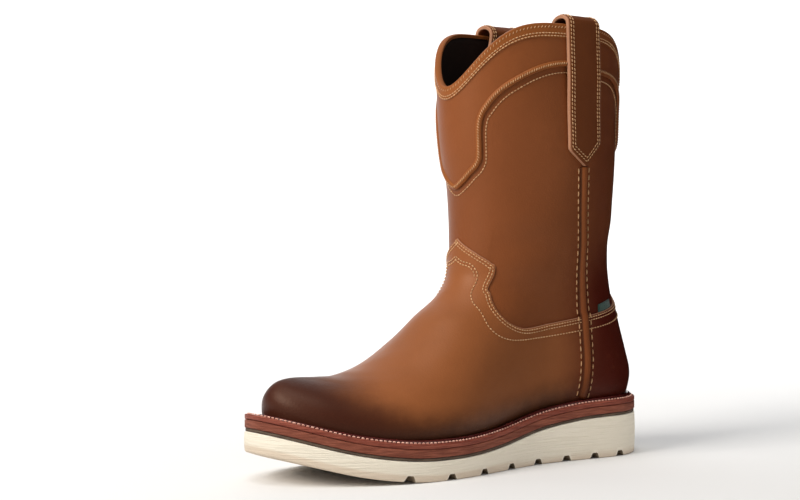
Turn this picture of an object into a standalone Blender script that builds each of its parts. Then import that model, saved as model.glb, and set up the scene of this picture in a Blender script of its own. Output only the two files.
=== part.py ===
"""A western work boot for the left foot: pull-on shaft, wedge sole, stitched welt.

Metres, +Z up. The toe points to -Y, the outer side of the foot to +X, and the
origin is on the floor under the middle of the boot's box.
"""

import math

import bmesh
import bpy
import numpy as np
from mathutils import Matrix

# Sole, in metres
OUTSOLE_LENGTH = 0.305
HEEL_WIDTH = 0.079
WAIST_WIDTH = 0.072
BALL_WIDTH = 0.111
TOE_SWING = 0.007
WEDGE_HEEL = 0.0285
WEDGE_BALL = 0.0128
WEDGE_TOE = 0.0129
TOE_SPRING = 0.0196
EDGE_ROUND = 0.0012
FILLER = 0.002
MIDSOLE = 0.0055
WELT = 0.0035
INSOLE_ABOVE_WELT = 0.0025

# Tread: open grooves under heel, waist and ball, shorter blind ones to the toe
GROOVE_PITCH = 0.023
PITCH_GROWTH = 0.0014
GROOVE_WIDTH = 0.0085
GROOVE_TOP_WIDTH = 0.0045
GROOVE_DEPTH = 0.004
FIRST_GROOVE = 0.037
BLIND_GROOVE_DEPTH = 0.003
OPEN_GROOVES_TO = 0.238

# Where the upper meets the welt, inside the welt's edge
REACH_HEEL = 0.0052
REACH_SIDE = 0.0085
REACH_TOE = 0.0125
TUCK = 0.003
TUCK_HEIGHT = 0.018
BEAD_RADIUS = 0.0013

# Upper
LEATHER = 0.0018
OVERLAY = 0.0014
TOE_BOX_HEIGHT = 0.0362
INSTEP_HEIGHT = 0.0772
HEEL_BACK_HEIGHT = 0.0807
SHAFT_HEIGHT = 0.2272
SHAFT_DEPTH = 0.1350
SHAFT_MIDDLE = 0.2865
SHAFT_WIDTH = 0.0976
ANKLE_WIDTH = 0.0764
COLLAR_RISE = 0.0425
HEEL_CUP_DEPTH = 0.044
TOE_CROWN = 0.026
INSTEP_CROWN = 0.050
SHAFT_CROWN = 0.066

# Pull straps, side seams and label
STRAP_WIDTH = 0.0295
STRAP_THICKNESS = 0.003
STRAP_DROP = 0.0937
STRAP_POINT = 0.0125
STRAP_INSIDE = 0.045
STRAP_PLACE = 0.535
LOOP_RISE = 0.0045
LOOP_SPREAD = 0.009
LOOP_SWELL = 0.12
SEAM_WIDTH = 0.0046
SEAM_THICKNESS = 0.0013
SEAM_FOOT = 0.0035
STRAP_CLEARANCE = 0.001
LABEL_WIDTH = 0.0125
LABEL_HEIGHT = 0.0062
LABEL_THICKNESS = 0.0007
LABEL_PLACE = 0.765

GAP = 0.0003

STEP_RUN = 0.0016

# Shape of the outline, as shares of the outsole's length and powers of its curves
BALL_PLACE = 0.623
TOE_ROUNDNESS = 2.38
HEEL_ROUNDNESS = 2.3
HEEL_CURVE_RUN = 0.148
SWING_START = 0.393
SWING_POWER = 1.5

# Shape of the upper, as places up from the welt (0) to the collar (1) and powers
FOOT_LEVEL_ENDS = 0.45
SHAFT_STARTS = 0.30
SHAFT_FULL = 0.62
CUP_ROUNDNESS = 2.15
SCALLOP_FLATNESS = 4.4
COLLAR_RISE_STARTS = 0.5
COLLAR_RISE_POWER = 1.3
TOE_TOP_POINT = 3
RIDGE_LEAD = 0.3
RIDGE_START = 0.002

# Where strips climb on and off an overlay, as places up
EDGE_MARGIN = 0.008
EDGE_RAMP = 0.02
STRAP_RAMP = 0.08
SPREAD_RUN = 0.8

# Blind grooves: half length as a share of the sole's half width, and pitches left free at the toe
BLIND_GROOVE_SHARE = 0.62
FREE_PITCHES = 1.5

# Counts and steps of the surfaces
COLUMNS = 32
COLUMN_CLEARANCE = 0.4
RIDGE_ROWS = 120
LEAD_ROWS = 45
CURVE_SAMPLES = 400
STRAP_COLUMNS = 5
LOOP_STEP = 20
SEAM_SAMPLES = 60
SEAM_VAMP_ROWS = 11
SEAM_SHAFT_ROWS = 13
LABEL_COLUMNS = 4
SHARP_ANGLE = 35
NORMAL_STEP = 0.003
SLOPE_STEP = 0.004
TURN_STEP = 0.005
UP_STEP = 0.01

# Search for the point of the outer side that a side view shows
SEARCH_FROM = (0.5, 0.55)
SEARCH_ROUNDS = 25
SEARCH_STEP = 0.002
SEARCH_STRIDE = 0.1
UP_LIMITS = (0.002, 0.996)
TURN_LIMITS = (0.1, 0.9)

# Rows of the upper's wall, as shares of the stretch between two edges
VAMP_ROWS = (0.05, 0.09, 0.125, 0.155, 0.185, 0.215, 0.25, 0.3, 0.37, 0.45, 0.54, 0.64, 0.75, 0.87)
SHAFT_ROWS = (0, 0.15, 0.32, 0.5, 0.68, 0.85, 1)
COLLAR_ROWS = (0, 0.35, 0.7, 1)
LINING_ROWS = (1, 0.94, 0.88, 0.82, 0.76, 0.7, 0.62, 0.54, 0.45, 0.35, 0.25, 0.16, 0.08, 0.03)
INSIDE_LEG_ROWS = (0, 0.2, 0.4, 0.6, 0.8, 1)
LABEL_ROWS = (0, 0.5, 1)
# Point of a pull strap: share of the point's height, share of the strap's width
POINT_ROWS = (
    (0.0, 0.06),
    (0.5, 0.55),
    (1.0, 1.0),
)
# Height of a side seam's rounded top across its width
SEAM_CROWN = (0.45, 0.9, 1.0, 0.9, 0.45)

# Sole outline: place along the outsole from its back, and the share of a width on each side
# along, share, width
OUTER_OUTLINE = (
    (0.000, 0.465, HEEL_WIDTH),
    (0.098, 0.500, HEEL_WIDTH),
    (0.361, 0.528, WAIST_WIDTH),
    (0.623, 0.514, BALL_WIDTH),
    (1.000, 0.503, BALL_WIDTH),
)
INNER_OUTLINE = (
    (0.000, 0.465, HEEL_WIDTH),
    (0.098, 0.500, HEEL_WIDTH),
    (0.393, 0.472, WAIST_WIDTH),
    (0.682, 0.486, BALL_WIDTH),
    (1.000, 0.477, BALL_WIDTH),
)
# Ground clearance under the sole: along, share, height
UNDERSIDE = (
    (0.000, 0.00, TOE_SPRING),
    (0.490, 0.00, TOE_SPRING),
    (0.666, 0.00, TOE_SPRING),
    (0.833, 0.27, TOE_SPRING),
    (1.000, 1.00, TOE_SPRING),
)
# Thickness of the wedge: along, share, thickness
WEDGE = (
    (0.000, 1.00, WEDGE_HEEL),
    (0.197, 0.97, WEDGE_HEEL),
    (0.311, 0.85, WEDGE_HEEL),
    (0.492, 1.18, WEDGE_BALL),
    (0.623, 1.00, WEDGE_BALL),
    (0.787, 1.00, WEDGE_BALL),
    (1.000, 1.00, WEDGE_TOE),
)
# Front line of the foot, above the sole's top: along the outsole, share, height
FRONT_OF_FOOT = (
    (0.9615, 0.34, TOE_BOX_HEIGHT),
    (0.9440, 0.66, TOE_BOX_HEIGHT),
    (0.8870, 1.00, TOE_BOX_HEIGHT),
    (0.7835, 0.57, INSTEP_HEIGHT),
    (0.6835, 0.70, INSTEP_HEIGHT),
    (0.5785, 1.00, INSTEP_HEIGHT),
)
# Front line of the shaft: share of the shaft's half depth, share of its height
FRONT_OF_SHAFT = (
    (0.928, 0.457),
    (0.920, 0.653),
    (1.004, 0.826),
    (1.046, 1.000),
)
# Back line of the heel: along the outsole, share of the heel's back height
BACK_OF_HEEL = (
    (0.0085, 0.205),
    (0.0235, 0.404),
    (0.0485, 0.690),
    (0.0685, 1.000),
)
# Back line of the shaft: share of the shaft's half depth, share of its height
BACK_OF_SHAFT = (
    (0.974, 0.488),
    (0.988, 0.620),
    (0.990, 0.752),
    (1.040, 0.932),
)
# Width of the shaft: up from the sole to the collar, share, width
SHAFT_SIDES = (
    (0.00, 1.040, ANKLE_WIDTH),
    (0.42, 1.000, ANKLE_WIDTH),
    (0.60, 0.846, SHAFT_WIDTH),
    (0.80, 1.000, SHAFT_WIDTH),
    (1.00, 0.955, SHAFT_WIDTH),
)
# Depth under the front line at which the boot has its full width: up, share, depth
CROWNS = (
    (0.00, 1.00, TOE_CROWN),
    (0.14, 1.27, TOE_CROWN),
    (0.35, 1.00, INSTEP_CROWN),
    (0.60, 0.94, SHAFT_CROWN),
    (1.00, 1.00, SHAFT_CROWN),
)
# Top edge of vamp and counter: round from the front line to the back line, and up
VAMP_TOP = (
    (0.000, 0.672),
    (0.123, 0.631),
    (0.203, 0.591),
    (0.226, 0.556),
    (0.289, 0.501),
    (0.360, 0.431),
    (0.426, 0.381),
    (0.490, 0.345),
    (0.570, 0.330),
    (0.650, 0.319),
    (0.825, 0.323),
    (0.910, 0.338),
    (1.000, 0.405),
)
# Lower edge of the collar: round, up
COLLAR_FOOT = (
    (0.000, 0.777),
    (0.084, 0.796),
    (0.134, 0.809),
    (0.146, 0.868),
    (0.178, 0.889),
    (0.298, 0.899),
    (0.462, 0.913),
    (0.604, 0.900),
    (0.822, 0.889),
    (0.854, 0.868),
    (0.866, 0.809),
    (0.916, 0.796),
    (1.000, 0.777),
)
# Middle of the side seam, seen from the side: share of the shaft's height above the sole,
# share of the shaft's half depth in front of its middle
SIDE_SEAM = (
    (0.000, -0.310),
    (0.060, -0.345),
    (0.120, -0.362),
    (0.200, -0.345),
    (0.460, -0.250),
    (0.640, -0.175),
    (0.760, -0.140),
)
# Welt section, from the upper outward: distance from the upper, height above the welt's top
BEAD_SECTION = (
    (0.2, -0.1),
    (0.4, 0.9),
    (0.9, 1.5),
    (1.6, 1.6),
    (2.2, 1.1),
    (2.5, 0.0),
)


def through(rows):
    """A smooth curve through (place, value) rows that doesn't overshoot them."""
    place = np.array([row[0] for row in rows])
    level = np.array([row[1] for row in rows])
    step = np.diff(place)
    slope = np.diff(level) / step
    before, after = slope[:-1], slope[1:]
    inner = (before * step[1:] + after * step[:-1]) / (step[1:] + step[:-1])
    limit = 3 * np.minimum(abs(before), abs(after))
    inner = np.where(before * after >= 0, np.clip(inner, -limit, limit), inner)
    tangent = np.concatenate([slope[:1], inner, slope[-1:]])

    def value(at):
        at = np.clip(at, place[0], place[-1])
        k = np.clip(np.searchsorted(place, at, side="right") - 1, 0, len(step) - 1)
        t = (at - place[k]) / step[k]
        rise = level[k + 1] - level[k]
        start = tangent[k] * step[k] - rise
        end = rise - tangent[k + 1] * step[k]
        return level[k] + rise * t + t * (1 - t) * (start * (1 - t) + end * t)

    return value


def along_outsole(table):
    return through([(OUTSOLE_LENGTH * row[0], row[1] * row[2]) for row in table])


def line_through(points):
    """A smooth line through (y, z) points, run by the share of its length."""
    points = np.array(points)
    run = np.concatenate([[0], np.cumsum(np.hypot(*np.diff(points, axis=0).T))])
    share = run / run[-1]
    place = through(list(zip(share, points[:, 0])))
    height = through(list(zip(share, points[:, 1])))
    return place, height, share


def fade(low, high, at):
    t = np.clip((at - low) / (high - low), 0, 1)
    return t * t * (3 - 2 * t)


def arch(share, power):
    return (1 - (1 - np.clip(share, 0, 1)) ** power) ** (1 / power)


outer_width = along_outsole(OUTER_OUTLINE)
inner_width = along_outsole(INNER_OUTLINE)
underside = along_outsole(UNDERSIDE)
wedge = along_outsole(WEDGE)
shaft_side = through([(row[0], 0.5 * row[1] * row[2]) for row in SHAFT_SIDES])
crown_depth = through([(row[0], row[1] * row[2]) for row in CROWNS])
vamp_top = through(VAMP_TOP)
collar_foot = through(COLLAR_FOOT)


def sole_top(along):
    return underside(along) + wedge(along) + FILLER + MIDSOLE + WELT


def toe_closing(along, tip):
    ball = BALL_PLACE * OUTSOLE_LENGTH
    share = np.clip((along - ball) / (tip - ball), 0, 1)
    return (1 - share**TOE_ROUNDNESS) ** 0.5


def middle(along):
    share = np.clip((along / OUTSOLE_LENGTH - SWING_START) / (1 - SWING_START), 0, 1)
    return -TOE_SWING * share**SWING_POWER


def sole_side(along, side):
    """How far the outsole's edge lies to the outer (+1) or inner (-1) side."""
    width = np.where(side > 0, outer_width(along), inner_width(along))
    heel = np.clip(1 - along / (HEEL_CURVE_RUN * OUTSOLE_LENGTH), 0, 1)
    ends = toe_closing(along, OUTSOLE_LENGTH) * (1 - heel**HEEL_ROUNDNESS) ** 0.5
    return middle(along) + side * width * ends


def box_middle():
    """The outsole is the widest piece, so the middle of its box is the boot's."""
    along = np.linspace(0, OUTSOLE_LENGTH, CURVE_SAMPLES)
    return (sole_side(along, 1).max() + sole_side(along, -1).min()) / 2


CENTRE_X = box_middle()


def front_points():
    toe = OUTSOLE_LENGTH - REACH_TOE
    points = [(OUTSOLE_LENGTH / 2 - toe, sole_top(toe))]
    for along, share, height in FRONT_OF_FOOT:
        place = along * OUTSOLE_LENGTH
        points.append((OUTSOLE_LENGTH / 2 - place, sole_top(place) + share * height))
    for half, share in FRONT_OF_SHAFT:
        place = SHAFT_MIDDLE * OUTSOLE_LENGTH + half * SHAFT_DEPTH / 2
        points.append((OUTSOLE_LENGTH / 2 - place, sole_top(place) + share * SHAFT_HEIGHT))
    return points


def back_points():
    points = [(OUTSOLE_LENGTH / 2 - REACH_HEEL, sole_top(REACH_HEEL))]
    for along, share in BACK_OF_HEEL:
        place = along * OUTSOLE_LENGTH
        points.append((OUTSOLE_LENGTH / 2 - place, sole_top(place) + share * HEEL_BACK_HEIGHT))
    for half, share in BACK_OF_SHAFT:
        place = SHAFT_MIDDLE * OUTSOLE_LENGTH - half * SHAFT_DEPTH / 2
        points.append((OUTSOLE_LENGTH / 2 - place, sole_top(place) + share * SHAFT_HEIGHT))
    return points


front_place, front_height, front_shares = line_through(front_points())
back_place, back_height, _ = line_through(back_points())
TOE_TOP = front_shares[TOE_TOP_POINT]


def down_to_welt(place, up):
    """How far the form sinks so that its lowest ring follows the welt, fading up the foot."""
    first, last = front_place(0), back_place(0)
    held = np.clip(place, first, last)
    chord = front_height(0) + (held - first) / (last - first) * (back_height(0) - front_height(0))
    return (sole_top(OUTSOLE_LENGTH / 2 - held) - chord) * (1 - fade(0, FOOT_LEVEL_ENDS, up))


def ridge_line():
    """The front line from the top of the toe box up, led on forward past the toe."""
    share = np.linspace(TOE_TOP, 1, RIDGE_ROWS)
    place = front_place(share)
    height = front_height(share) + down_to_welt(place, share)
    ahead = np.array([place[0] - place[4], height[0] - height[4]])
    ahead /= np.hypot(*ahead)
    lead = np.linspace(RIDGE_LEAD * OUTSOLE_LENGTH, RIDGE_START, LEAD_ROWS)[:, None] * ahead
    points = np.concatenate([lead + (place[0], height[0]), np.stack([place, height], 1)])
    return points, np.concatenate([np.full(LEAD_ROWS, TOE_TOP), share])


RIDGE, RIDGE_SHARE = ridge_line()


def under_ridge(place, height):
    """Distance of side-view points from the front line, and the line's share next to them."""
    flat = np.stack([place.ravel(), height.ravel()], 1)
    start, run = RIDGE[:-1], np.diff(RIDGE, axis=0)
    t = np.clip(((flat[:, None] - start) * run).sum(-1) / (run**2).sum(-1), 0, 1)
    near = start + t[..., None] * run
    distance = np.hypot(*(flat[:, None] - near).transpose(2, 0, 1))
    k = distance.argmin(1)
    i = np.arange(len(k))
    share = RIDGE_SHARE[k] + t[i, k] * (RIDGE_SHARE[k + 1] - RIDGE_SHARE[k])
    return distance[i, k].reshape(place.shape), share.reshape(place.shape)


def upper_point(up, turn):
    """The upper's form. up: 0 at the welt, 1 at the collar's edge. turn: 0 at the front
    line, then to 1 at the back line along the outer side, or to -1 along the inner side."""
    up, turn = np.broadcast_arrays(np.asarray(up, float), np.asarray(turn, float))
    turn = (turn + 1) % 2 - 1
    side = np.where(turn >= 0, 1, -1)
    share = (1 - np.cos(np.pi * abs(turn))) / 2
    front, back = front_place(up), back_place(up)
    place = front + share * (back - front)
    height = front_height(up) + share * (back_height(up) - front_height(up))
    height = height + down_to_welt(place, up)
    depth, near = under_ridge(place, height)
    in_shaft = fade(SHAFT_STARTS, SHAFT_FULL, up)
    cup = HEEL_CUP_DEPTH * (1 - in_shaft) + 0.5 * (back - front) * in_shaft
    along = OUTSOLE_LENGTH / 2 - place
    tip = OUTSOLE_LENGTH / 2 - front_place(np.minimum(up, TOE_TOP))
    closing = arch(depth / crown_depth(near), 2) * arch((back - place) / cup, CUP_ROUNDNESS)
    closing = closing * toe_closing(along, tip)
    inside = np.clip((along - REACH_HEEL) / (OUTSOLE_LENGTH - REACH_HEEL - REACH_TOE), 0, 1)
    like = inside * OUTSOLE_LENGTH
    foot = np.where(side > 0, outer_width(like), inner_width(like)) - REACH_SIDE + TUCK
    foot = foot - TUCK * np.clip(1 - (height - sole_top(along)) / TUCK_HEIGHT, 0, 1) ** 2
    width = (foot * (1 - in_shaft) + shaft_side(up) * in_shaft) * closing
    scallop = 1 - abs(1 - 2 * share) ** SCALLOP_FLATNESS
    rise = fade(COLLAR_RISE_STARTS, 1, up) ** COLLAR_RISE_POWER
    height = height + COLLAR_RISE * scallop * rise
    return np.stack([middle(like) * (1 - in_shaft) + side * width - CENTRE_X, place, height], -1)


def upper_normal(up, turn):
    step = NORMAL_STEP
    round_it = upper_point(up, turn + step) - upper_point(up, turn - step)
    rise = upper_point(np.minimum(up + step, 1), turn) - upper_point(np.maximum(up - step, 0), turn)
    normal = np.cross(round_it, rise)
    return normal / np.linalg.norm(normal, axis=-1, keepdims=True)


def upper_face(up, turn, lift):
    """A point at a height over the upper's form, along its normal."""
    up, turn, lift = np.broadcast_arrays(np.asarray(up, float), np.asarray(turn, float), lift)
    return upper_point(up, turn) + upper_normal(up, turn) * lift[..., None]


def foot_ring(turns, lift):
    """The upper's lowest ring, offset level, so that it stands flat on the welt."""
    point = upper_point(0, turns)
    normal = upper_normal(0, turns) * (1, 1, 0)
    return point + normal / np.linalg.norm(normal, axis=-1, keepdims=True) * lift


def round_columns():
    """Turns of the columns: even ones, moved onto the corners of vamp and collar."""
    corners = [row[0] for row in VAMP_TOP[1:4]]
    corners += [row[0] for row in COLLAR_FOOT[1:5]] + [row[0] for row in COLLAR_FOOT[8:12]]
    turns = [i / COLUMNS for i in range(COLUMNS + 1)]
    near = COLUMN_CLEARANCE / COLUMNS
    turns = [turn for turn in turns if all(abs(turn - corner) > near for corner in corners)]
    half = sorted(turns + corners)
    return np.array(half + [-turn for turn in half[-2:0:-1]])


TURNS = round_columns()
HALF = len(TURNS) // 2


def rim_ring(outset):
    """The welt's edge seen from above, moved out by outset. The edge point that belongs to
    a point of the upper lies at the same share of the outsole's length."""
    foot = foot_ring(TURNS, 0)
    share = (foot[:, 1] - front_place(0)) / (back_place(0) - front_place(0))
    along = np.clip(OUTSOLE_LENGTH * (1 - share), 0, OUTSOLE_LENGTH)
    side = np.where(TURNS >= 0, 1, -1)
    edge = np.stack([sole_side(along, side) - CENTRE_X, OUTSOLE_LENGTH / 2 - along, 0 * along], 1)
    out = edge - foot * (1, 1, 0)
    reach = np.linalg.norm(out, axis=1, keepdims=True)
    return edge + out / reach * outset


def levelled(ring, level):
    """A ring set at a level, which is a function of the place along the outsole."""
    ring = np.array(ring)
    ring[:, 2] = level(np.clip(OUTSOLE_LENGTH / 2 - ring[:, 1], 0, OUTSOLE_LENGTH))
    return ring


def clear_scene():
    for thing in list(bpy.data.objects):
        bpy.data.objects.remove(thing, do_unlink=True)


def material(name, colour, roughness):
    made = bpy.data.materials.new(name)
    made.use_nodes = True
    shader = made.node_tree.nodes["Principled BSDF"]
    shader.inputs["Base Color"].default_value = (*colour, 1)
    shader.inputs["Roughness"].default_value = roughness
    shader.inputs["Metallic"].default_value = 0
    return made


def add_piece(name, points, faces, look, collection):
    """A solid from rings of points, with its faces turned out."""
    work = bmesh.new()
    corners = [work.verts.new(point) for point in points]
    for face in faces:
        work.faces.new([corners[i] for i in face])
    bmesh.ops.recalc_face_normals(work, faces=work.faces)
    mesh = bpy.data.meshes.new(name)
    work.to_mesh(mesh)
    work.free()
    mesh.shade_smooth()
    mesh.set_sharp_from_angle(angle=math.radians(SHARP_ANGLE))
    piece = bpy.data.objects.new(name, mesh)
    piece.data.materials.append(look)
    collection.objects.link(piece)
    return piece


def between_rings(count, size, closed):
    """Faces between neighbouring rings of one size; closed joins the last to the first."""
    faces = []
    for i in range(count if closed else count - 1):
        low, high = i * size, (i + 1) % count * size
        for j in range(size):
            k = (j + 1) % size
            faces.append((low + j, low + k, high + k, high + j))
    return faces


def cap(first):
    """Strips across a ring, between the outer and inner point of each column."""
    size = 2 * HALF
    faces = [(first, first + 1, first + size - 1)]
    for i in range(1, HALF - 1):
        faces.append((first + i, first + i + 1, first + size - i - 1, first + size - i))
    faces.append((first + HALF - 1, first + HALF, first + HALF + 1))
    return faces


def add_slab(name, rings, look, collection):
    """A closed solid of stacked rings, with strips across its lowest and highest ring."""
    size = 2 * HALF
    faces = between_rings(len(rings), size, False) + cap(0) + cap((len(rings) - 1) * size)
    return add_piece(name, np.concatenate(rings), faces, look, collection)


def add_loop(name, rings, look, collection):
    """A closed band: rings that follow its section right round."""
    faces = between_rings(len(rings), len(rings[0]), True)
    return add_piece(name, np.concatenate(rings), faces, look, collection)


def add_sheet(name, over, under, look, collection):
    """A sheet between two grids of points of one size."""
    rings = [np.concatenate([top, low[::-1]]) for top, low in zip(over, under)]
    count, size = len(rings), len(rings[0])
    faces = between_rings(count, size, False)
    across = size // 2
    for first in (0, (count - 1) * size):
        for j in range(across - 1):
            faces.append((first + j, first + j + 1, first + size - 2 - j, first + size - 1 - j))
    return add_piece(name, np.concatenate(rings), faces, look, collection)


def groove_cutter(work, along, width, top_width, depth, half_length):
    """A bar that is wider below, across the sole and square to its underside."""
    slope = (underside(along + SLOPE_STEP) - underside(along - SLOPE_STEP)) / (2 * SLOPE_STEP)
    bar = bmesh.ops.create_cube(work, size=1)["verts"]
    reach = GROOVE_DEPTH
    flare = (width - top_width) / depth
    for vert in bar:
        top = vert.co.z > 0
        vert.co.x *= 2 * half_length
        vert.co.y *= top_width if top else width + flare * reach
        vert.co.z = depth if top else -reach
    place = Matrix.Translation((0, OUTSOLE_LENGTH / 2 - along, float(underside(along))))
    tilt = Matrix.Rotation(-math.atan(slope), 4, "X")
    bmesh.ops.transform(work, matrix=place @ tilt, verts=bar)


def add_groove_cutters(collection):
    work = bmesh.new()
    along, pitch = FIRST_GROOVE, GROOVE_PITCH
    blind_end = OUTSOLE_LENGTH - FREE_PITCHES * GROOVE_PITCH
    while along < blind_end:
        if along < OPEN_GROOVES_TO:
            groove_cutter(work, along, GROOVE_WIDTH, GROOVE_TOP_WIDTH, GROOVE_DEPTH, BALL_WIDTH)
        else:
            half = BLIND_GROOVE_SHARE * float(min(sole_side(along, 1), -sole_side(along, -1)))
            groove_cutter(work, along, GROOVE_WIDTH, GROOVE_TOP_WIDTH, BLIND_GROOVE_DEPTH, half)
        along += pitch
        pitch += PITCH_GROWTH
    mesh = bpy.data.meshes.new("groove_cutters")
    work.to_mesh(mesh)
    work.free()
    cutters = bpy.data.objects.new("groove_cutters", mesh)
    cutters.hide_render = True
    cutters.display_type = "WIRE"
    collection.objects.link(cutters)
    return cutters


def make_outsole(look, parts, cutters):
    rings = [
        levelled(rim_ring(-EDGE_ROUND), underside),
        levelled(rim_ring(0), lambda at: underside(at) + EDGE_ROUND),
        levelled(rim_ring(0), lambda at: underside(at) + wedge(at)),
    ]
    outsole = add_slab("outsole", rings, look, parts)
    cut = outsole.modifiers.new("grooves", "BOOLEAN")
    cut.operation = "DIFFERENCE"
    cut.solver = "EXACT"
    cut.object = add_groove_cutters(cutters)


def make_midsole(looks, parts):
    def filler_top(at):
        return underside(at) + wedge(at) + FILLER

    def midsole_top(at):
        return filler_top(at) + MIDSOLE

    filler = [
        levelled(rim_ring(-GAP), lambda at: underside(at) + wedge(at) + GAP),
        levelled(rim_ring(-GAP), filler_top),
    ]
    add_slab("midsole_filler", filler, looks["filler"], parts)
    leather = [
        levelled(rim_ring(0), lambda at: filler_top(at) + GAP),
        levelled(rim_ring(0), midsole_top),
    ]
    add_slab("midsole", leather, looks["midsole"], parts)


def inner_lift():
    return -OVERLAY / 2 - LEATHER


def make_welt(look, parts):
    """A strip all round, under the upper's wall, with a bead against the upper."""
    def low(at):
        return sole_top(at) - WELT + GAP

    rings = [levelled(foot_ring(TURNS, inner_lift()), low), levelled(rim_ring(0), low)]
    rings.append(levelled(rim_ring(0), lambda at: sole_top(at) - EDGE_ROUND / 2))
    rings.append(levelled(rim_ring(-EDGE_ROUND / 2), sole_top))
    for out, high in reversed(BEAD_SECTION):
        lift = OVERLAY / 2 + GAP + out * BEAD_RADIUS
        ring = foot_ring(TURNS, lift)
        rings.append(levelled(ring, lambda at, high=high: sole_top(at) + high * BEAD_RADIUS))
    lowest = BEAD_SECTION[0][1] * BEAD_RADIUS
    rings.append(levelled(foot_ring(TURNS, inner_lift()), lambda at: sole_top(at) + lowest))
    add_loop("welt", rings, look, parts)


def make_insole(look, parts):
    low, high = foot_ring(TURNS, inner_lift() - GAP), foot_ring(TURNS, inner_lift() - 3 * GAP)
    rings = [
        levelled(low, lambda at: sole_top(at) - WELT + GAP),
        levelled(high, lambda at: sole_top(at) + INSOLE_ABOVE_WELT),
    ]
    add_slab("insole", rings, look, parts)


def make_upper(look, parts):
    """One hollow wall. Vamp, counter and collar are steps of one overlay's thickness."""
    turned = abs(TURNS)
    vamp, collar = vamp_top(turned), collar_foot(turned)
    proud, flush = OVERLAY / 2, -OVERLAY / 2
    step = STEP_RUN / SHAFT_HEIGHT / 2
    rings = [levelled(foot_ring(TURNS, proud), lambda at: sole_top(at) + GAP)]
    for share in VAMP_ROWS:
        rings.append(upper_face(vamp * share, TURNS, proud))
    rings.append(upper_face(vamp - step, TURNS, proud))
    for share in SHAFT_ROWS:
        height = vamp + step + share * (collar - vamp - 2 * step)
        rings.append(upper_face(height, TURNS, flush))
    for share in COLLAR_ROWS:
        rings.append(upper_face(collar + step + share * (1 - collar - step), TURNS, proud))
    for height in LINING_ROWS:
        rings.append(upper_face(height, TURNS, inner_lift()))
    rings.append(levelled(foot_ring(TURNS, inner_lift()), lambda at: sole_top(at) + GAP))
    add_loop("upper", rings, look, parts)


def on_outer_side(place, height):
    """Up and turn of the point of the outer side that a side view shows there."""
    goal = np.stack(np.broadcast_arrays(np.asarray(place, float), np.asarray(height, float)), -1)
    up, turn = (np.full(goal.shape[:-1], start) for start in SEARCH_FROM)
    step = SEARCH_STEP
    for _ in range(SEARCH_ROUNDS):
        here = upper_point(up, turn)[..., 1:]
        with_up = (upper_point(up + step, turn)[..., 1:] - here) / step
        with_turn = (upper_point(up, turn + step)[..., 1:] - here) / step
        miss = goal - here
        spread = with_up[..., 0] * with_turn[..., 1] - with_up[..., 1] * with_turn[..., 0]
        more_up = (miss[..., 0] * with_turn[..., 1] - miss[..., 1] * with_turn[..., 0]) / spread
        more_turn = (with_up[..., 0] * miss[..., 1] - with_up[..., 1] * miss[..., 0]) / spread
        up = np.clip(up + np.clip(more_up, -SEARCH_STRIDE, SEARCH_STRIDE), *UP_LIMITS)
        turn = np.clip(turn + np.clip(more_turn, -SEARCH_STRIDE, SEARCH_STRIDE), *TURN_LIMITS)
    return up, turn


def turn_step(up, turn, distance):
    """The change of turn that goes a distance round the upper at one place."""
    ends = upper_point(up, turn + TURN_STEP) - upper_point(up, turn - TURN_STEP)
    return distance * 2 * TURN_STEP / np.linalg.norm(ends, axis=-1)


def up_step(up, turn, distance):
    ends = upper_point(up, turn) - upper_point(up - UP_STEP, turn)
    return distance * UP_STEP / np.linalg.norm(ends, axis=-1)


def over_vamp(up, turn):
    """Height of a strip over the upper's form, where it climbs onto the vamp's edge."""
    edge = vamp_top(abs(turn)) + EDGE_MARGIN
    return OVERLAY * (0.5 - fade(edge, edge + EDGE_RAMP, up))


def under_collar(up):
    """The same for a strap that climbs onto the collar."""
    edge = collar_foot(STRAP_PLACE) - EDGE_MARGIN
    return OVERLAY * (fade(edge - STRAP_RAMP, edge, up) - 0.5)


def below_collar(drop):
    """Up on the strap's line at a height below the collar's edge."""
    ups = np.linspace(0, 1, CURVE_SAMPLES)
    heights = upper_point(ups, STRAP_PLACE)[:, 2]
    return float(np.interp(heights[-1] - drop, heights, ups))


def strap_row(up, side, half, lift):
    """Points across a strap at one height on the upper."""
    half_turn = turn_step(up, STRAP_PLACE, half)
    turns = side * (STRAP_PLACE + half_turn * np.linspace(-1, 1, STRAP_COLUMNS))
    return upper_face(up, turns, lift)


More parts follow.
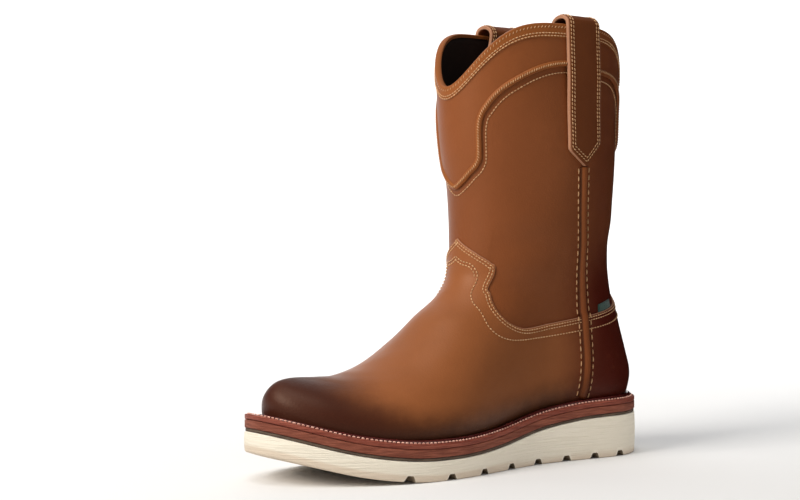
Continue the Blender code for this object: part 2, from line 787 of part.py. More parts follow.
def strap_side(side, extra):
    """One face of a pull strap: outside leg, loop over the collar, leg inside."""
    end = below_collar(STRAP_DROP)
    point = below_collar(STRAP_DROP - STRAP_POINT) - end
    rows = []
    outside = GAP + STRAP_THICKNESS / 2 + extra
    for share, width in POINT_ROWS:
        up = end + share * point
        rows.append(strap_row(up, side, width * STRAP_WIDTH / 2, under_collar(up) + outside))
    edge = float(collar_foot(STRAP_PLACE)) - EDGE_MARGIN
    ramp = list(np.linspace(edge - STRAP_RAMP, edge, 4))
    leg_rows = list(np.linspace(end + point, ramp[0], 5)[1:-1]) + ramp + [(edge + 1) / 2, 1]
    for up in leg_rows:
        rows.append(strap_row(up, side, STRAP_WIDTH / 2, under_collar(up) + outside))
    inside = inner_lift() - GAP - STRAP_THICKNESS / 2
    outer = strap_row(1, side, STRAP_WIDTH / 2, OVERLAY / 2 + GAP + STRAP_THICKNESS / 2)
    inner = strap_row(1, side, STRAP_WIDTH / 2, inside - LOOP_SPREAD)
    centre, span = (outer + inner) / 2, (outer - inner) / 2
    reach = np.linalg.norm(span, axis=1, keepdims=True)
    rise = (LOOP_RISE + STRAP_THICKNESS / 2 + extra) * np.array([0, 0, 1])
    for degrees in range(LOOP_STEP, 180, LOOP_STEP):
        angle = math.radians(degrees)
        swell = (reach + extra) * (1 + LOOP_SWELL * math.sin(angle))
        rows.append(centre + span / reach * swell * math.cos(angle) + rise * math.sin(angle))
    leg = 1 - below_collar(STRAP_INSIDE)
    for share in INSIDE_LEG_ROWS:
        lift = inside - extra - LOOP_SPREAD * (1 - fade(0, SPREAD_RUN, share))
        rows.append(strap_row(1 - share * leg, side, STRAP_WIDTH / 2, lift))
    return rows


def make_straps(look, parts):
    for name, side in (("pull_strap_outer", 1), ("pull_strap_inner", -1)):
        over = strap_side(side, STRAP_THICKNESS / 2)
        under = strap_side(side, -STRAP_THICKNESS / 2)
        add_sheet(name, over, under, look, parts)


def seam_line(share):
    """Up and turn of the seam's middle at a share of the shaft's height above the sole."""
    along = SHAFT_MIDDLE * OUTSOLE_LENGTH + through(SIDE_SEAM)(share) * SHAFT_DEPTH / 2
    return on_outer_side(OUTSOLE_LENGTH / 2 - along, sole_top(along) + share * SHAFT_HEIGHT)


def make_side_seams(look, parts):
    """A rounded strip down each side, from the strap's point to the welt."""
    stop = below_collar(STRAP_DROP + STRAP_CLEARANCE)
    shares = np.linspace(SEAM_FOOT / SHAFT_HEIGHT, SIDE_SEAM[-1][0], SEAM_SAMPLES)
    ups, turns = seam_line(shares)
    place = through(list(zip(ups, turns)))
    climb = float(np.interp(0, vamp_top(turns)[::-1] - ups[::-1], ups[::-1])) + EDGE_MARGIN
    rows = np.concatenate([
        np.linspace(ups[0], climb, SEAM_VAMP_ROWS),
        [climb + EDGE_RAMP / 2],
        np.linspace(climb + EDGE_RAMP, stop, SEAM_SHAFT_ROWS),
    ])
    crown = np.array(SEAM_CROWN) * SEAM_THICKNESS
    for name, side in (("side_seam_outer", 1), ("side_seam_inner", -1)):
        over, under = [], []
        for up in rows:
            half = turn_step(up, place(up), SEAM_WIDTH / 2)
            across = side * (place(up) + half * np.linspace(-1, 1, len(crown)))
            face = over_vamp(up, across) + GAP
            over.append(upper_face(up, across, face + crown))
            under.append(upper_face(up, across, face))
        add_sheet(name, over, under, look, parts)


def make_label(look, parts):
    """A small bare cloth tab on the outer side, standing on the counter's top edge."""
    foot = float(vamp_top(LABEL_PLACE)) + STEP_RUN / SHAFT_HEIGHT
    half = float(turn_step(foot, LABEL_PLACE, LABEL_WIDTH / 2))
    high = float(up_step(foot + 2 * UP_STEP, LABEL_PLACE, LABEL_HEIGHT))
    turns = LABEL_PLACE + half * np.linspace(-1, 1, LABEL_COLUMNS)
    over, under = [], []
    for share in LABEL_ROWS:
        up = vamp_top(turns) + STEP_RUN / SHAFT_HEIGHT + share * high
        over.append(upper_face(up, turns, -OVERLAY / 2 + GAP + LABEL_THICKNESS))
        under.append(upper_face(up, turns, -OVERLAY / 2 + GAP))
    add_sheet("label", over, under, look, parts)


def main():
    clear_scene()
    parts = bpy.data.collections.new("western_work_boot")
    cutters = bpy.data.collections.new("cutters")
    for collection in (parts, cutters):
        bpy.context.scene.collection.children.link(collection)
    looks = {
        "wedge": material("cream_rubber", (0.68, 0.62, 0.50), 0.65),
        "filler": material("grey_rubber", (0.10, 0.08, 0.06), 0.7),
        "midsole": material("midsole_leather", (0.22, 0.06, 0.035), 0.55),
        "welt": material("welt_leather", (0.16, 0.035, 0.025), 0.4),
        "insole": material("insole_leather", (0.45, 0.30, 0.17), 0.7),
        "upper": material("oiled_leather", (0.22, 0.07, 0.022), 0.45),
        "strap": material("strap_leather", (0.17, 0.05, 0.015), 0.5),
        "seam": material("seam_leather", (0.26, 0.09, 0.025), 0.5),
        "label": material("green_cloth", (0.02, 0.12, 0.08), 0.8),
    }
    make_outsole(looks["wedge"], parts, cutters)
    make_midsole(looks, parts)
    make_welt(looks["welt"], parts)
    make_insole(looks["insole"], parts)
    make_upper(looks["upper"], parts)
    make_straps(looks["strap"], parts)
    make_side_seams(looks["seam"], parts)
    make_label(looks["label"], parts)


main()
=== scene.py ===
# Western work boot for the left foot: its looks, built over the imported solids.
# Metres, +Z up. The toe points to -Y, the outer side of the foot to +X, the floor is at Z 0.

import math

import bpy
import numpy as np
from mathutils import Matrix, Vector


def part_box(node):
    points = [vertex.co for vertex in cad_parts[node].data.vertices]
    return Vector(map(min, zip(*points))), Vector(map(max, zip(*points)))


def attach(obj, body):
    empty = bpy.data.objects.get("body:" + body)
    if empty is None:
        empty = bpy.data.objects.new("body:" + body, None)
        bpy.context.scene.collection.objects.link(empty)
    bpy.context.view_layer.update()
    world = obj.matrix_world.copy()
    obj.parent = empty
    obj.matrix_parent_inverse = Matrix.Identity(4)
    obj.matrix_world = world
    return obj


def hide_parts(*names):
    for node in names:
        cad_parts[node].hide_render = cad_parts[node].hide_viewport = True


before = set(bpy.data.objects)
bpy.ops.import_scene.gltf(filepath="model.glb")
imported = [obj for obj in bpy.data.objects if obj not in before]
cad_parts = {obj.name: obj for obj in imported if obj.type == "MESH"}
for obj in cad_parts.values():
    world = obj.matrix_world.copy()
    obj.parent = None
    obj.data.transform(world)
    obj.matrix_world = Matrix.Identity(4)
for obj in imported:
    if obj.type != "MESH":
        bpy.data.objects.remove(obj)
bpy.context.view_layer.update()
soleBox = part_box("outsole")
outsoleLength = soleBox[1].y - soleBox[0].y
print("frame: outsole %.1f mm long" % (outsoleLength * 1000))

scene = bpy.context.scene
scene.view_settings.view_transform = "Standard"
scene.view_settings.look = "None"

# The last: sizes in metres. Widths are of the outsole, heights are above the welt.
last = {
    "heelWidth": 0.079,
    "waistWidth": 0.072,
    "ballWidth": 0.111,
    "toeSwing": 0.007,
    "wedgeHeel": 0.0285,
    "wedgeBall": 0.0128,
    "wedgeToe": 0.0129,
    "toeSpring": 0.0196,
    "filler": 0.002,
    "midsole": 0.0055,
    "welt": 0.0035,
    "reachHeel": 0.0052,
    "reachSide": 0.0085,
    "reachToe": 0.0125,
    "tuck": 0.003,
    "tuckHeight": 0.018,
    "leather": 0.0018,
    "overlay": 0.0014,
    "toeBoxHeight": 0.0362,
    "instepHeight": 0.0772,
    "heelBackHeight": 0.0807,
    "shaftHeight": 0.2272,
    "shaftDepth": 0.1350,
    "shaftMiddle": 0.2865,
    "shaftWidth": 0.0976,
    "ankleWidth": 0.0764,
    "collarRise": 0.0425,
    "heelCupDepth": 0.044,
    "toeCrown": 0.026,
    "instepCrown": 0.050,
    "shaftCrown": 0.066,
    "gap": 0.0003,
}

# along the outsole, share of the size
outerOutline = (
    (0.000, 0.465, "heelWidth"),
    (0.098, 0.500, "heelWidth"),
    (0.361, 0.528, "waistWidth"),
    (0.623, 0.514, "ballWidth"),
    (1.000, 0.503, "ballWidth"),
)
innerOutline = (
    (0.000, 0.465, "heelWidth"),
    (0.098, 0.500, "heelWidth"),
    (0.393, 0.472, "waistWidth"),
    (0.682, 0.486, "ballWidth"),
    (1.000, 0.477, "ballWidth"),
)
undersideRows = (
    (0.000, 0.00, "toeSpring"),
    (0.490, 0.00, "toeSpring"),
    (0.666, 0.00, "toeSpring"),
    (0.833, 0.27, "toeSpring"),
    (1.000, 1.00, "toeSpring"),
)
wedgeRows = (
    (0.000, 1.00, "wedgeHeel"),
    (0.197, 0.97, "wedgeHeel"),
    (0.311, 0.85, "wedgeHeel"),
    (0.492, 1.18, "wedgeBall"),
    (0.623, 1.00, "wedgeBall"),
    (0.787, 1.00, "wedgeBall"),
    (1.000, 1.00, "wedgeToe"),
)
frontOfFoot = (
    (0.9615, 0.34, "toeBoxHeight"),
    (0.9440, 0.66, "toeBoxHeight"),
    (0.8870, 1.00, "toeBoxHeight"),
    (0.7835, 0.57, "instepHeight"),
    (0.6835, 0.70, "instepHeight"),
    (0.5785, 1.00, "instepHeight"),
)
backOfHeel = (
    (0.0085, 0.205, "heelBackHeight"),
    (0.0235, 0.404, "heelBackHeight"),
    (0.0485, 0.690, "heelBackHeight"),
    (0.0685, 1.000, "heelBackHeight"),
)
# share of the shaft's half depth from its middle, share of its height
frontOfShaft = ((0.928, 0.457), (0.920, 0.653), (1.004, 0.826), (1.046, 1.000))
backOfShaft = ((-0.974, 0.488), (-0.988, 0.620), (-0.990, 0.752), (-1.040, 0.932))
# up from the welt to the collar, share of the size
shaftSides = (
    (0.00, 1.040, "ankleWidth"),
    (0.42, 1.000, "ankleWidth"),
    (0.60, 0.846, "shaftWidth"),
    (0.80, 1.000, "shaftWidth"),
    (1.00, 0.955, "shaftWidth"),
)
crownRows = (
    (0.00, 1.00, "toeCrown"),
    (0.14, 1.27, "toeCrown"),
    (0.35, 1.00, "instepCrown"),
    (0.60, 0.94, "shaftCrown"),
    (1.00, 1.00, "shaftCrown"),
)
# turn round the boot from the front line, up from the welt to the collar
vampTopRows = (
    (0.000, 0.672),
    (0.123, 0.631),
    (0.192, 0.602),
    (0.211, 0.591),
    (0.219, 0.576),
    (0.232, 0.550),
    (0.289, 0.501),
    (0.360, 0.431),
    (0.426, 0.377),
    (0.490, 0.338),
    (0.570, 0.325),
    (0.650, 0.318),
    (0.825, 0.323),
    (0.900, 0.336),
    (0.955, 0.372),
    (1.000, 0.440),
)
collarFootRows = (
    (0.000, 0.777),
    (0.084, 0.796),
    (0.134, 0.809),
    (0.146, 0.868),
    (0.178, 0.889),
    (0.298, 0.899),
    (0.462, 0.913),
    (0.604, 0.900),
    (0.822, 0.889),
    (0.854, 0.868),
    (0.866, 0.809),
    (0.916, 0.796),
    (1.000, 0.777),
)


# Curves and small tools

def through(rows):
    # A smooth curve through (place, value) rows that doesn't overshoot them.
    place = np.array([row[0] for row in rows], float)
    level = np.array([row[1] for row in rows], float)
    step = np.diff(place)
    slope = np.diff(level) / step
    before, after = slope[:-1], slope[1:]
    inner = (before * step[1:] + after * step[:-1]) / (step[1:] + step[:-1])
    limit = 3 * np.minimum(abs(before), abs(after))
    inner = np.where(before * after >= 0, np.clip(inner, -limit, limit), inner)
    tangent = np.concatenate([slope[:1], inner, slope[-1:]])

    def value(at):
        at = np.clip(at, place[0], place[-1])
        k = np.clip(np.searchsorted(place, at, side="right") - 1, 0, len(step) - 1)
        t = (at - place[k]) / step[k]
        rise = level[k + 1] - level[k]
        start = tangent[k] * step[k] - rise
        end = rise - tangent[k + 1] * step[k]
        return level[k] + rise * t + t * (1 - t) * (start * (1 - t) + end * t)

    return value


def sizedAlong(rows):
    return through([(outsoleLength * row[0], row[1] * last[row[2]]) for row in rows])


def fade(low, high, at):
    t = np.clip((at - low) / (high - low), 0, 1)
    return t * t * (3 - 2 * t)


def arch(share, power):
    return (1 - (1 - np.clip(share, 0, 1)) ** power) ** (1 / power)


def unit(vectors):
    return vectors / np.maximum(np.linalg.norm(vectors, axis=-1, keepdims=True), 1e-12)


outerWidth = sizedAlong(outerOutline)
innerWidth = sizedAlong(innerOutline)
underside = sizedAlong(undersideRows)
wedge = sizedAlong(wedgeRows)
shaftSide = through([(row[0], 0.5 * row[1] * last[row[2]]) for row in shaftSides])
crownDepth = through([(row[0], row[1] * last[row[2]]) for row in crownRows])
vampTopCurve = through(vampTopRows)
collarFootCurve = through(collarFootRows)


def vampTop(turn):
    return vampTopCurve(abs(turn))


def collarFoot(turn):
    return collarFootCurve(abs(turn))


def wedgeTop(along):
    return underside(along) + wedge(along)


def midsoleTop(along):
    return wedgeTop(along) + last["filler"] + last["midsole"]


def soleTop(along):
    return midsoleTop(along) + last["welt"]


def toeClosing(along, tip):
    ball = 0.623 * outsoleLength
    share = np.clip((along - ball) / (tip - ball), 0, 1)
    return (1 - share**2.38) ** 0.5


def middleLine(along):
    share = np.clip((along / outsoleLength - 0.393) / (1 - 0.393), 0, 1)
    return -last["toeSwing"] * share**1.5


def soleSide(along, side):
    width = np.where(side > 0, outerWidth(along), innerWidth(along))
    heel = np.clip(1 - along / (0.148 * outsoleLength), 0, 1)
    ends = toeClosing(along, outsoleLength) * (1 - heel**2.3) ** 0.5
    return middleLine(along) + side * width * ends


alongAll = np.linspace(0, outsoleLength, 400)
centreX = (soleSide(alongAll, 1).max() + soleSide(alongAll, -1).min()) / 2


def lineThrough(points):
    points = np.array(points)
    run = np.concatenate([[0], np.cumsum(np.hypot(*np.diff(points, axis=0).T))])
    share = run / run[-1]
    place = through(list(zip(share, points[:, 0])))
    height = through(list(zip(share, points[:, 1])))
    return place, height, share


def shaftPoints(rows):
    made = []
    for half, share in rows:
        along = last["shaftMiddle"] * outsoleLength + half * last["shaftDepth"] / 2
        made.append((outsoleLength / 2 - along, soleTop(along) + share * last["shaftHeight"]))
    return made


def sideLine(start, footRows, shaftRows):
    points = [(outsoleLength / 2 - start, soleTop(start))]
    for along, share, size in footRows:
        place = along * outsoleLength
        points.append((outsoleLength / 2 - place, soleTop(place) + share * last[size]))
    return points + shaftPoints(shaftRows)


frontPlace, frontHeight, frontShares = lineThrough(
    sideLine(outsoleLength - last["reachToe"], frontOfFoot, frontOfShaft)
)
backPlace, backHeight, _ = lineThrough(
    sideLine(last["reachHeel"], [row[:2] + ("heelBackHeight",) for row in backOfHeel], backOfShaft)
)
toeTop = frontShares[3]

# How finely the upper's form is worked out, and how it is softened
formGrid = {"rows": 341, "columns": 720, "ridge": 240, "lead": 30, "softenPasses": 14}


def downToWelt(place, up):
    # How far the form sinks so that its lowest ring follows the welt, fading up the foot.
    first, final = frontPlace(0), backPlace(0)
    held = np.clip(place, first, final)
    chord = frontHeight(0) + (held - first) / (final - first) * (backHeight(0) - frontHeight(0))
    return (soleTop(outsoleLength / 2 - held) - chord) * (1 - fade(0, 0.45, up))


def ridgeLine():
    share = np.linspace(toeTop, 1, formGrid["ridge"])
    place = frontPlace(share)
    height = frontHeight(share) + downToWelt(place, share)
    ahead = unit(np.array([place[0] - place[8], height[0] - height[8]]))
    lead = np.linspace(0.3 * outsoleLength, 0.002, formGrid["lead"])[:, None] * ahead
    points = np.concatenate([lead + (place[0], height[0]), np.stack([place, height], 1)])
    return points, np.concatenate([np.full(formGrid["lead"], toeTop), share])


ridge, ridgeShare = ridgeLine()


def underRidge(place, height):
    # Distance of side-view points from the front line, and the line's share next to them.
    flat = np.stack([place.ravel(), height.ravel()], 1)
    start, run = ridge[:-1], np.diff(ridge, axis=0)
    distance, share = np.empty(len(flat)), np.empty(len(flat))
    for first in range(0, len(flat), 20000):
        part = flat[first : first + 20000]
        t = np.clip(((part[:, None] - start) * run).sum(-1) / (run**2).sum(-1), 0, 1)
        near = start + t[..., None] * run
        away = np.hypot(*(part[:, None] - near).transpose(2, 0, 1))
        k = away.argmin(1)
        i = np.arange(len(k))
        distance[first : first + 20000] = away[i, k]
        share[first : first + 20000] = ridgeShare[k] + t[i, k] * (ridgeShare[k + 1] - ridgeShare[k])
    return distance.reshape(place.shape), share.reshape(place.shape)


def upperForm(up, turn):
    # up: 0 at the welt, 1 at the collar's edge. turn: 0 at the front line, 1 or -1 at the
    # back line along the outer or the inner side.
    up, turn = np.broadcast_arrays(np.asarray(up, float), np.asarray(turn, float))
    side = np.where(turn >= 0, 1, -1)
    share = (1 - np.cos(np.pi * abs(turn))) / 2
    front, back = frontPlace(up), backPlace(up)
    place = front + share * (back - front)
    height = frontHeight(up) + share * (backHeight(up) - frontHeight(up))
    height = height + downToWelt(place, up)
    depth, near = underRidge(place, height)
    inShaft = fade(0.30, 0.62, up)
    cup = last["heelCupDepth"] * (1 - inShaft) + 0.5 * (back - front) * inShaft
    along = outsoleLength / 2 - place
    tip = outsoleLength / 2 - frontPlace(np.minimum(up, toeTop))
    closing = arch(depth / crownDepth(near), 2) * arch((back - place) / cup, 2.15)
    closing = closing * toeClosing(along, tip)
    reach = outsoleLength - last["reachHeel"] - last["reachToe"]
    like = np.clip((along - last["reachHeel"]) / reach, 0, 1) * outsoleLength
    foot = np.where(side > 0, outerWidth(like), innerWidth(like)) - last["reachSide"] + last["tuck"]
    low = np.clip(1 - (height - soleTop(along)) / last["tuckHeight"], 0, 1)
    foot = foot - last["tuck"] * low**2
    width = (foot * (1 - inShaft) + shaftSide(up) * inShaft) * closing
    scallop = 1 - abs(1 - 2 * share) ** 4.4
    height = height + last["collarRise"] * scallop * fade(0.5, 1, up) ** 1.3
    return np.stack([middleLine(like) * (1 - inShaft) + side * width - centreX, place, height], -1)


def softened(grid, passes):
    # Evens the form out over a few millimetres; its lowest and highest row stay.
    for _ in range(passes):
        grid = (np.roll(grid, 1, 1) + 2 * grid + np.roll(grid, -1, 1)) / 4
        inner = (grid[:-2] + 2 * grid[1:-1] + grid[2:]) / 4
        grid = np.concatenate([grid[:1], inner, grid[-1:]])
    return grid


def gridNormals(grid):
    aroundGrid = np.roll(grid, -1, 1) - np.roll(grid, 1, 1)
    return unit(np.cross(aroundGrid, np.gradient(grid, axis=0)))


def cubicWeights(t):
    return np.stack([
        ((2 - t) * t - 1) * t,
        (3 * t - 5) * t * t + 2,
        ((4 - 3 * t) * t + 1) * t,
        (t - 1) * t * t,
    ], -1) / 2


def readGrid(grid, up, turn):
    rows, columns = grid.shape[:2]
    up, turn = np.broadcast_arrays(np.asarray(up, float), np.asarray(turn, float))
    r = np.clip(up, 0, 1) * (rows - 1)
    c = ((turn + 1) / 2 % 1) * columns
    r0 = np.minimum(np.floor(r).astype(int), rows - 2)
    c0 = np.floor(c).astype(int)
    rowWeights, columnWeights = cubicWeights(r - r0), cubicWeights(c - c0)
    total = 0
    for i in range(4):
        ri = np.clip(r0 + i - 1, 0, rows - 1)
        for j in range(4):
            weight = rowWeights[..., i] * columnWeights[..., j]
            total = total + weight[..., None] * grid[ri, (c0 + j - 1) % columns]
    return total


# Creases worn or pressed into the upper, each along a line on its form: turn and up of
# both ends, half width and depth in metres. A depth below zero is a ridge.
creases = (
    # across the vamp where the foot bends
    (-0.42, 0.225, 0.40, 0.235, 0.0065, 0.00055),
    (-0.36, 0.270, 0.36, 0.285, 0.0075, 0.00060),
    (-0.30, 0.250, 0.33, 0.258, 0.0060, -0.00030),
    # soft folds round the ankle
    (-0.20, 0.520, 0.26, 0.505, 0.0100, 0.00090),
    (0.18, 0.640, 0.52, 0.560, 0.0120, 0.00120),
    (0.24, 0.560, 0.56, 0.470, 0.0110, 0.00090),
    (0.20, 0.600, 0.50, 0.520, 0.0100, -0.00060),
    (-0.18, 0.640, -0.52, 0.560, 0.0120, 0.00110),
    (-0.24, 0.560, -0.56, 0.470, 0.0110, 0.00080),
    (0.72, 0.520, 1.26, 0.520, 0.0100, 0.00110),
    (0.74, 0.440, 1.24, 0.445, 0.0080, 0.00070),
    # long slack hollows in the shaft
    (0.30, 0.860, 0.36, 0.600, 0.0160, 0.00090),
    (0.70, 0.840, 0.66, 0.560, 0.0140, 0.00080),
    (-0.34, 0.850, -0.36, 0.600, 0.0160, 0.00080),
    (-0.66, 0.840, -0.68, 0.560, 0.0150, 0.00080),
)


def creased(grid):
    normals = gridNormals(grid)
    push = np.zeros(grid.shape[:2])
    for fromTurn, fromUp, toTurn, toUp, half, depth in creases:
        share = np.linspace(0, 1, 17)
        line = readGrid(grid, fromUp + share * (toUp - fromUp), fromTurn + share * (toTurn - fromTurn))
        nearest = np.full(push.shape, 1.0)
        at = np.zeros(push.shape)
        for k in range(16):
            run = line[k + 1] - line[k]
            t = np.clip(((grid - line[k]) @ run) / (run @ run), 0, 1)
            away = np.linalg.norm(grid - line[k] - t[..., None] * run, axis=-1)
            closer = away < nearest
            nearest = np.where(closer, away, nearest)
            at = np.where(closer, (k + t) / 16, at)
        held = np.sin(np.pi * np.clip(at, 0, 1)) ** 0.7
        ratio = nearest / half
        shoulder = 0.3 * np.exp(-((ratio - 1.9) ** 2) / 0.6)
        push += depth * held * (shoulder - np.exp(-(ratio**2)))
    ups = np.linspace(0, 1, grid.shape[0])[:, None]
    keepEnds = fade(0.0, 0.06, ups) * (1 - fade(0.9, 1.0, ups))
    return grid + normals * (push * keepEnds)[..., None]


gridUps = np.linspace(0, 1, formGrid["rows"])
gridTurns = np.linspace(-1, 1, formGrid["columns"] + 1)[:-1]
form = upperForm(gridUps[:, None], gridTurns[None, :])
form = creased(softened(form, formGrid["softenPasses"]))
formNormals = gridNormals(form)
print("upper's form worked out on", form.shape[0], "x", form.shape[1], "points")


def onUpper(up, turn, lift):
    point = readGrid(form, up, turn)
    normal = unit(readGrid(formNormals, up, turn))
    return point + normal * np.broadcast_to(lift, point.shape[:-1])[..., None]


def alongOf(points):
    # How far forward of the heel's end points lie, along the outsole.
    return np.clip(outsoleLength / 2 - points[..., 1], 0, outsoleLength)


def footRing(turn, lift, level):
    # The ring where the upper meets the welt, offset level and set at a height.
    point = readGrid(form, 0, turn)
    normal = unit(readGrid(formNormals, 0, turn) * (1, 1, 0))
    ring = point + normal * lift
    ring[..., 2] = level(alongOf(ring))
    return ring


def rimRing(turn, outset, level):
    # The welt's edge. Its point lies at the same share of the length as the upper's.
    foot = readGrid(form, 0, turn)
    share = (foot[:, 1] - frontPlace(0)) / (backPlace(0) - frontPlace(0))
    along = np.clip(outsoleLength * (1 - share), 0, outsoleLength)
    across = soleSide(along, np.where(turn >= 0, 1, -1)) - centreX
    edge = np.stack([across, outsoleLength / 2 - along, 0 * along], 1)
    ring = edge + unit((edge - foot) * (1, 1, 0)) * outset
    ring[:, 2] = level(alongOf(ring))
    return ring


def aroundTurns(count):
    return np.linspace(-1, 1, count + 1)[:-1]


# Meshes

pieces = {}


def addMesh(name, points, quads, materials, faceMaterials=None, marks=None, extraFaces=()):
    mesh = bpy.data.meshes.new(name)
    points = np.asarray(points, np.float32).reshape(-1, 3)
    faces = [tuple(face) for face in quads] + [tuple(face) for face in extraFaces]
    mesh.from_pydata(points.tolist(), [], faces)
    mesh.validate()
    mesh.polygons.foreach_set("use_smooth", [True] * len(mesh.polygons))
    for made in materials:
        mesh.materials.append(made)
    if faceMaterials is not None:
        mesh.polygons.foreach_set("material_index", list(faceMaterials))
    for mark, values in (marks or {}).items():
        attribute = mesh.attributes.new(mark, "FLOAT", "POINT")
        attribute.data.foreach_set("value", np.asarray(values, np.float32).ravel())
    piece = bpy.data.objects.new(name, mesh)
    scene.collection.objects.link(piece)
    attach(piece, "root")
    pieces[name] = piece
    return piece


def standFor(piece, cadNode):
    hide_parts(cadNode)


def ringQuads(rows, columns, rowsClosed):
    # Faces between rings of columns points that go right round.
    r = np.arange(rows if rowsClosed else rows - 1)[:, None]
    c = np.arange(columns)[None, :]
    low, high = r * columns, (r + 1) % rows * columns
    right = (c + 1) % columns
    return np.stack([low + c, low + right, high + right, high + c], -1).reshape(-1, 4)


def crossCap(first, columns, flip):
    # Strips over a ring whose first point is at the back and middle point at the front.
    faces = []
    half = columns // 2
    for i in range(half):
        a, b = first + i, first + i + 1
        c, d = first + (columns - i - 1) % columns, first + (columns - i) % columns
        face = [a, b, c, d]
        face = [v for k, v in enumerate(face) if v not in face[:k]]
        faces.append(face[::-1] if flip else face)
    return faces


def addBand(name, rings, materials, ringMaterials=None, marks=None):
    # A closed wall: rings that follow its section right round, from outside over the top.
    columns = len(rings[0])
    faceMaterials = None if ringMaterials is None else np.repeat(ringMaterials, columns)
    quads = ringQuads(len(rings), columns, True)
    return addMesh(name, np.concatenate(rings), quads, materials, faceMaterials, marks)


def addStack(name, rings, materials, marks=None):
    # A closed slab of rings from the lowest up.
    rows, columns = len(rings), len(rings[0])
    quads = ringQuads(rows, columns, False)
    caps = crossCap(0, columns, True) + crossCap((rows - 1) * columns, columns, False)
    return addMesh(name, np.concatenate(rings), quads, materials, None, marks, caps)


def addTube(name, sections, materials, marks=None):
    # A closed bar of sections with a flat fan at both ends.
    rows, columns = len(sections), len(sections[0])
    points = np.concatenate([*sections, [np.mean(sections[0], 0)], [np.mean(sections[-1], 0)]])
    first, final, top = rows * columns, rows * columns + 1, (rows - 1) * columns
    ends = []
    for i in range(columns):
        k = (i + 1) % columns
        ends += [(k, i, first), (final, top + i, top + k)]
    for mark, values in (marks or {}).items():
        values = np.ravel(values)
        marks[mark] = np.append(values, [values[0], values[-1]])
    return addMesh(name, points, ringQuads(rows, columns, False), materials, None, marks, ends)


# Threads: every stitch is its own closed capsule, all joined into one mesh per piece

def resampled(points, step, closed=False):
    points = np.asarray(points, float)
    if closed:
        points = np.concatenate([points, points[:1]])
    run = np.concatenate([[0], np.cumsum(np.linalg.norm(np.diff(points, axis=0), axis=1))])
    count = max(int(round(run[-1] / step)), 1)
    at = np.linspace(0, run[-1], count + 1)
    return at, run, points


def threadTemplate(rings, sides):
    # A capsule of unit half length along X and unit radius.
    points, faces = [(-1, 0, 0)], []
    for i in range(rings):
        x = -0.88 + 1.76 * i / (rings - 1)
        radius = (1 - abs(x) ** 3.2) ** 0.5
        for j in range(sides):
            angle = 2 * math.pi * j / sides
            points.append((x, radius * math.cos(angle), radius * math.sin(angle)))
    points.append((1, 0, 0))
    final = len(points) - 1
    for j in range(sides):
        k = (j + 1) % sides
        faces.append((0, 1 + k, 1 + j))
        faces.append((final, final - sides + j, final - sides + k))
        for i in range(rings - 1):
            a = 1 + i * sides
            faces.append((a + j, a + k, a + sides + k, a + sides + j))
    return np.array(points), faces


class Threads:
    def __init__(self):
        self.centres, self.alongs, self.ups, self.sizes = [], [], [], []

    def row(self, points, normals, thread, closed=False):
        # One stitch at each pitch along a line on the leather.
        points = np.asarray(points, float)
        normals = np.asarray(normals, float)
        at, run, line = resampled(points, thread["pitch"], closed)
        if closed:
            normals = np.concatenate([normals, normals[:1]])
        middle = (at[:-1] + at[1:]) / 2
        half = thread["length"] / 2

        def read(values, where):
            return np.stack([np.interp(where, run, values[:, axis]) for axis in range(3)], 1)

        centre = read(line, middle)
        up = unit(read(normals, middle))
        ahead = unit(read(line, middle + half * 0.9) - read(line, middle - half * 0.9))
        aside = np.cross(up, ahead)
        slant = math.radians(thread.get("slant", 0))
        ahead = unit(ahead * math.cos(slant) + aside * math.sin(slant))
        self.centres.append(centre + up * thread["radius"] * thread.get("rise", 0.35))
        self.alongs.append(ahead)
        self.ups.append(up)
        self.sizes.append(np.tile([half, thread["radius"]], (len(centre), 1)))

    def build(self, name, look):
        centre, ahead = np.concatenate(self.centres), np.concatenate(self.alongs)
        up, size = np.concatenate(self.ups), np.concatenate(self.sizes)
        aside = unit(np.cross(up, ahead))
        up = np.cross(ahead, aside)
        template, faces = threadTemplate(5, 6)
        x, y, z = template.T
        bow = 0.35 * (1 - x**2)
        points = (
            centre[:, None]
            + ahead[:, None] * (x[None] * size[:, :1])[..., None]
            + aside[:, None] * (y[None] * size[:, 1:])[..., None]
            + up[:, None] * ((z + bow)[None] * size[:, 1:])[..., None]
        )
        tint = np.repeat(np.random.default_rng(7).random(len(centre)), len(template))
        starts = np.arange(len(centre)) * len(template)
        allFaces = [tuple(v + first for v in face) for first in starts.tolist() for face in faces]
        addMesh(name, points, allFaces, [look], marks={"tint": tint})
        print(name, len(centre), "stitches")


# Shaders

def srgb(red, green, blue):
    made = []
    for value in (red, green, blue):
        value /= 255
        made.append(value / 12.92 if value <= 0.04045 else ((value + 0.055) / 1.055) ** 2.4)
    return (*made, 1)


def makeGroup(name, inputs, outputs):
    # A node group that starts from the place on the piece. Input rows: name, kind, value.
    tree = bpy.data.node_groups.new(name, "ShaderNodeTree")
    for label, kind, value in [("Position", "Vector", None)] + inputs:
        socket = tree.interface.new_socket(name=label, in_out="INPUT", socket_type="NodeSocket" + kind)
        if value is not None:
            socket.default_value = value
    for label, kind in outputs:
        tree.interface.new_socket(name=label, in_out="OUTPUT", socket_type="NodeSocket" + kind)
    start, end = tree.nodes.new("NodeGroupInput"), tree.nodes.new("NodeGroupOutput")
    return tree, start.outputs, end.inputs


def feed(tree, socket, value):
    if isinstance(value, bpy.types.NodeSocket):
        tree.links.new(value, socket)
    else:
        socket.default_value = value


def node(tree, kind, settings=None, **values):
    # A node with its settings and inputs; i0, i1 and so on are inputs by number.
    made = tree.nodes.new("ShaderNode" + kind)
    for key, value in (settings or {}).items():
        setattr(made, key, value)
    for key, value in values.items():
        feed(tree, made.inputs[int(key[1:]) if key[1:].isdigit() else key], value)
    return made


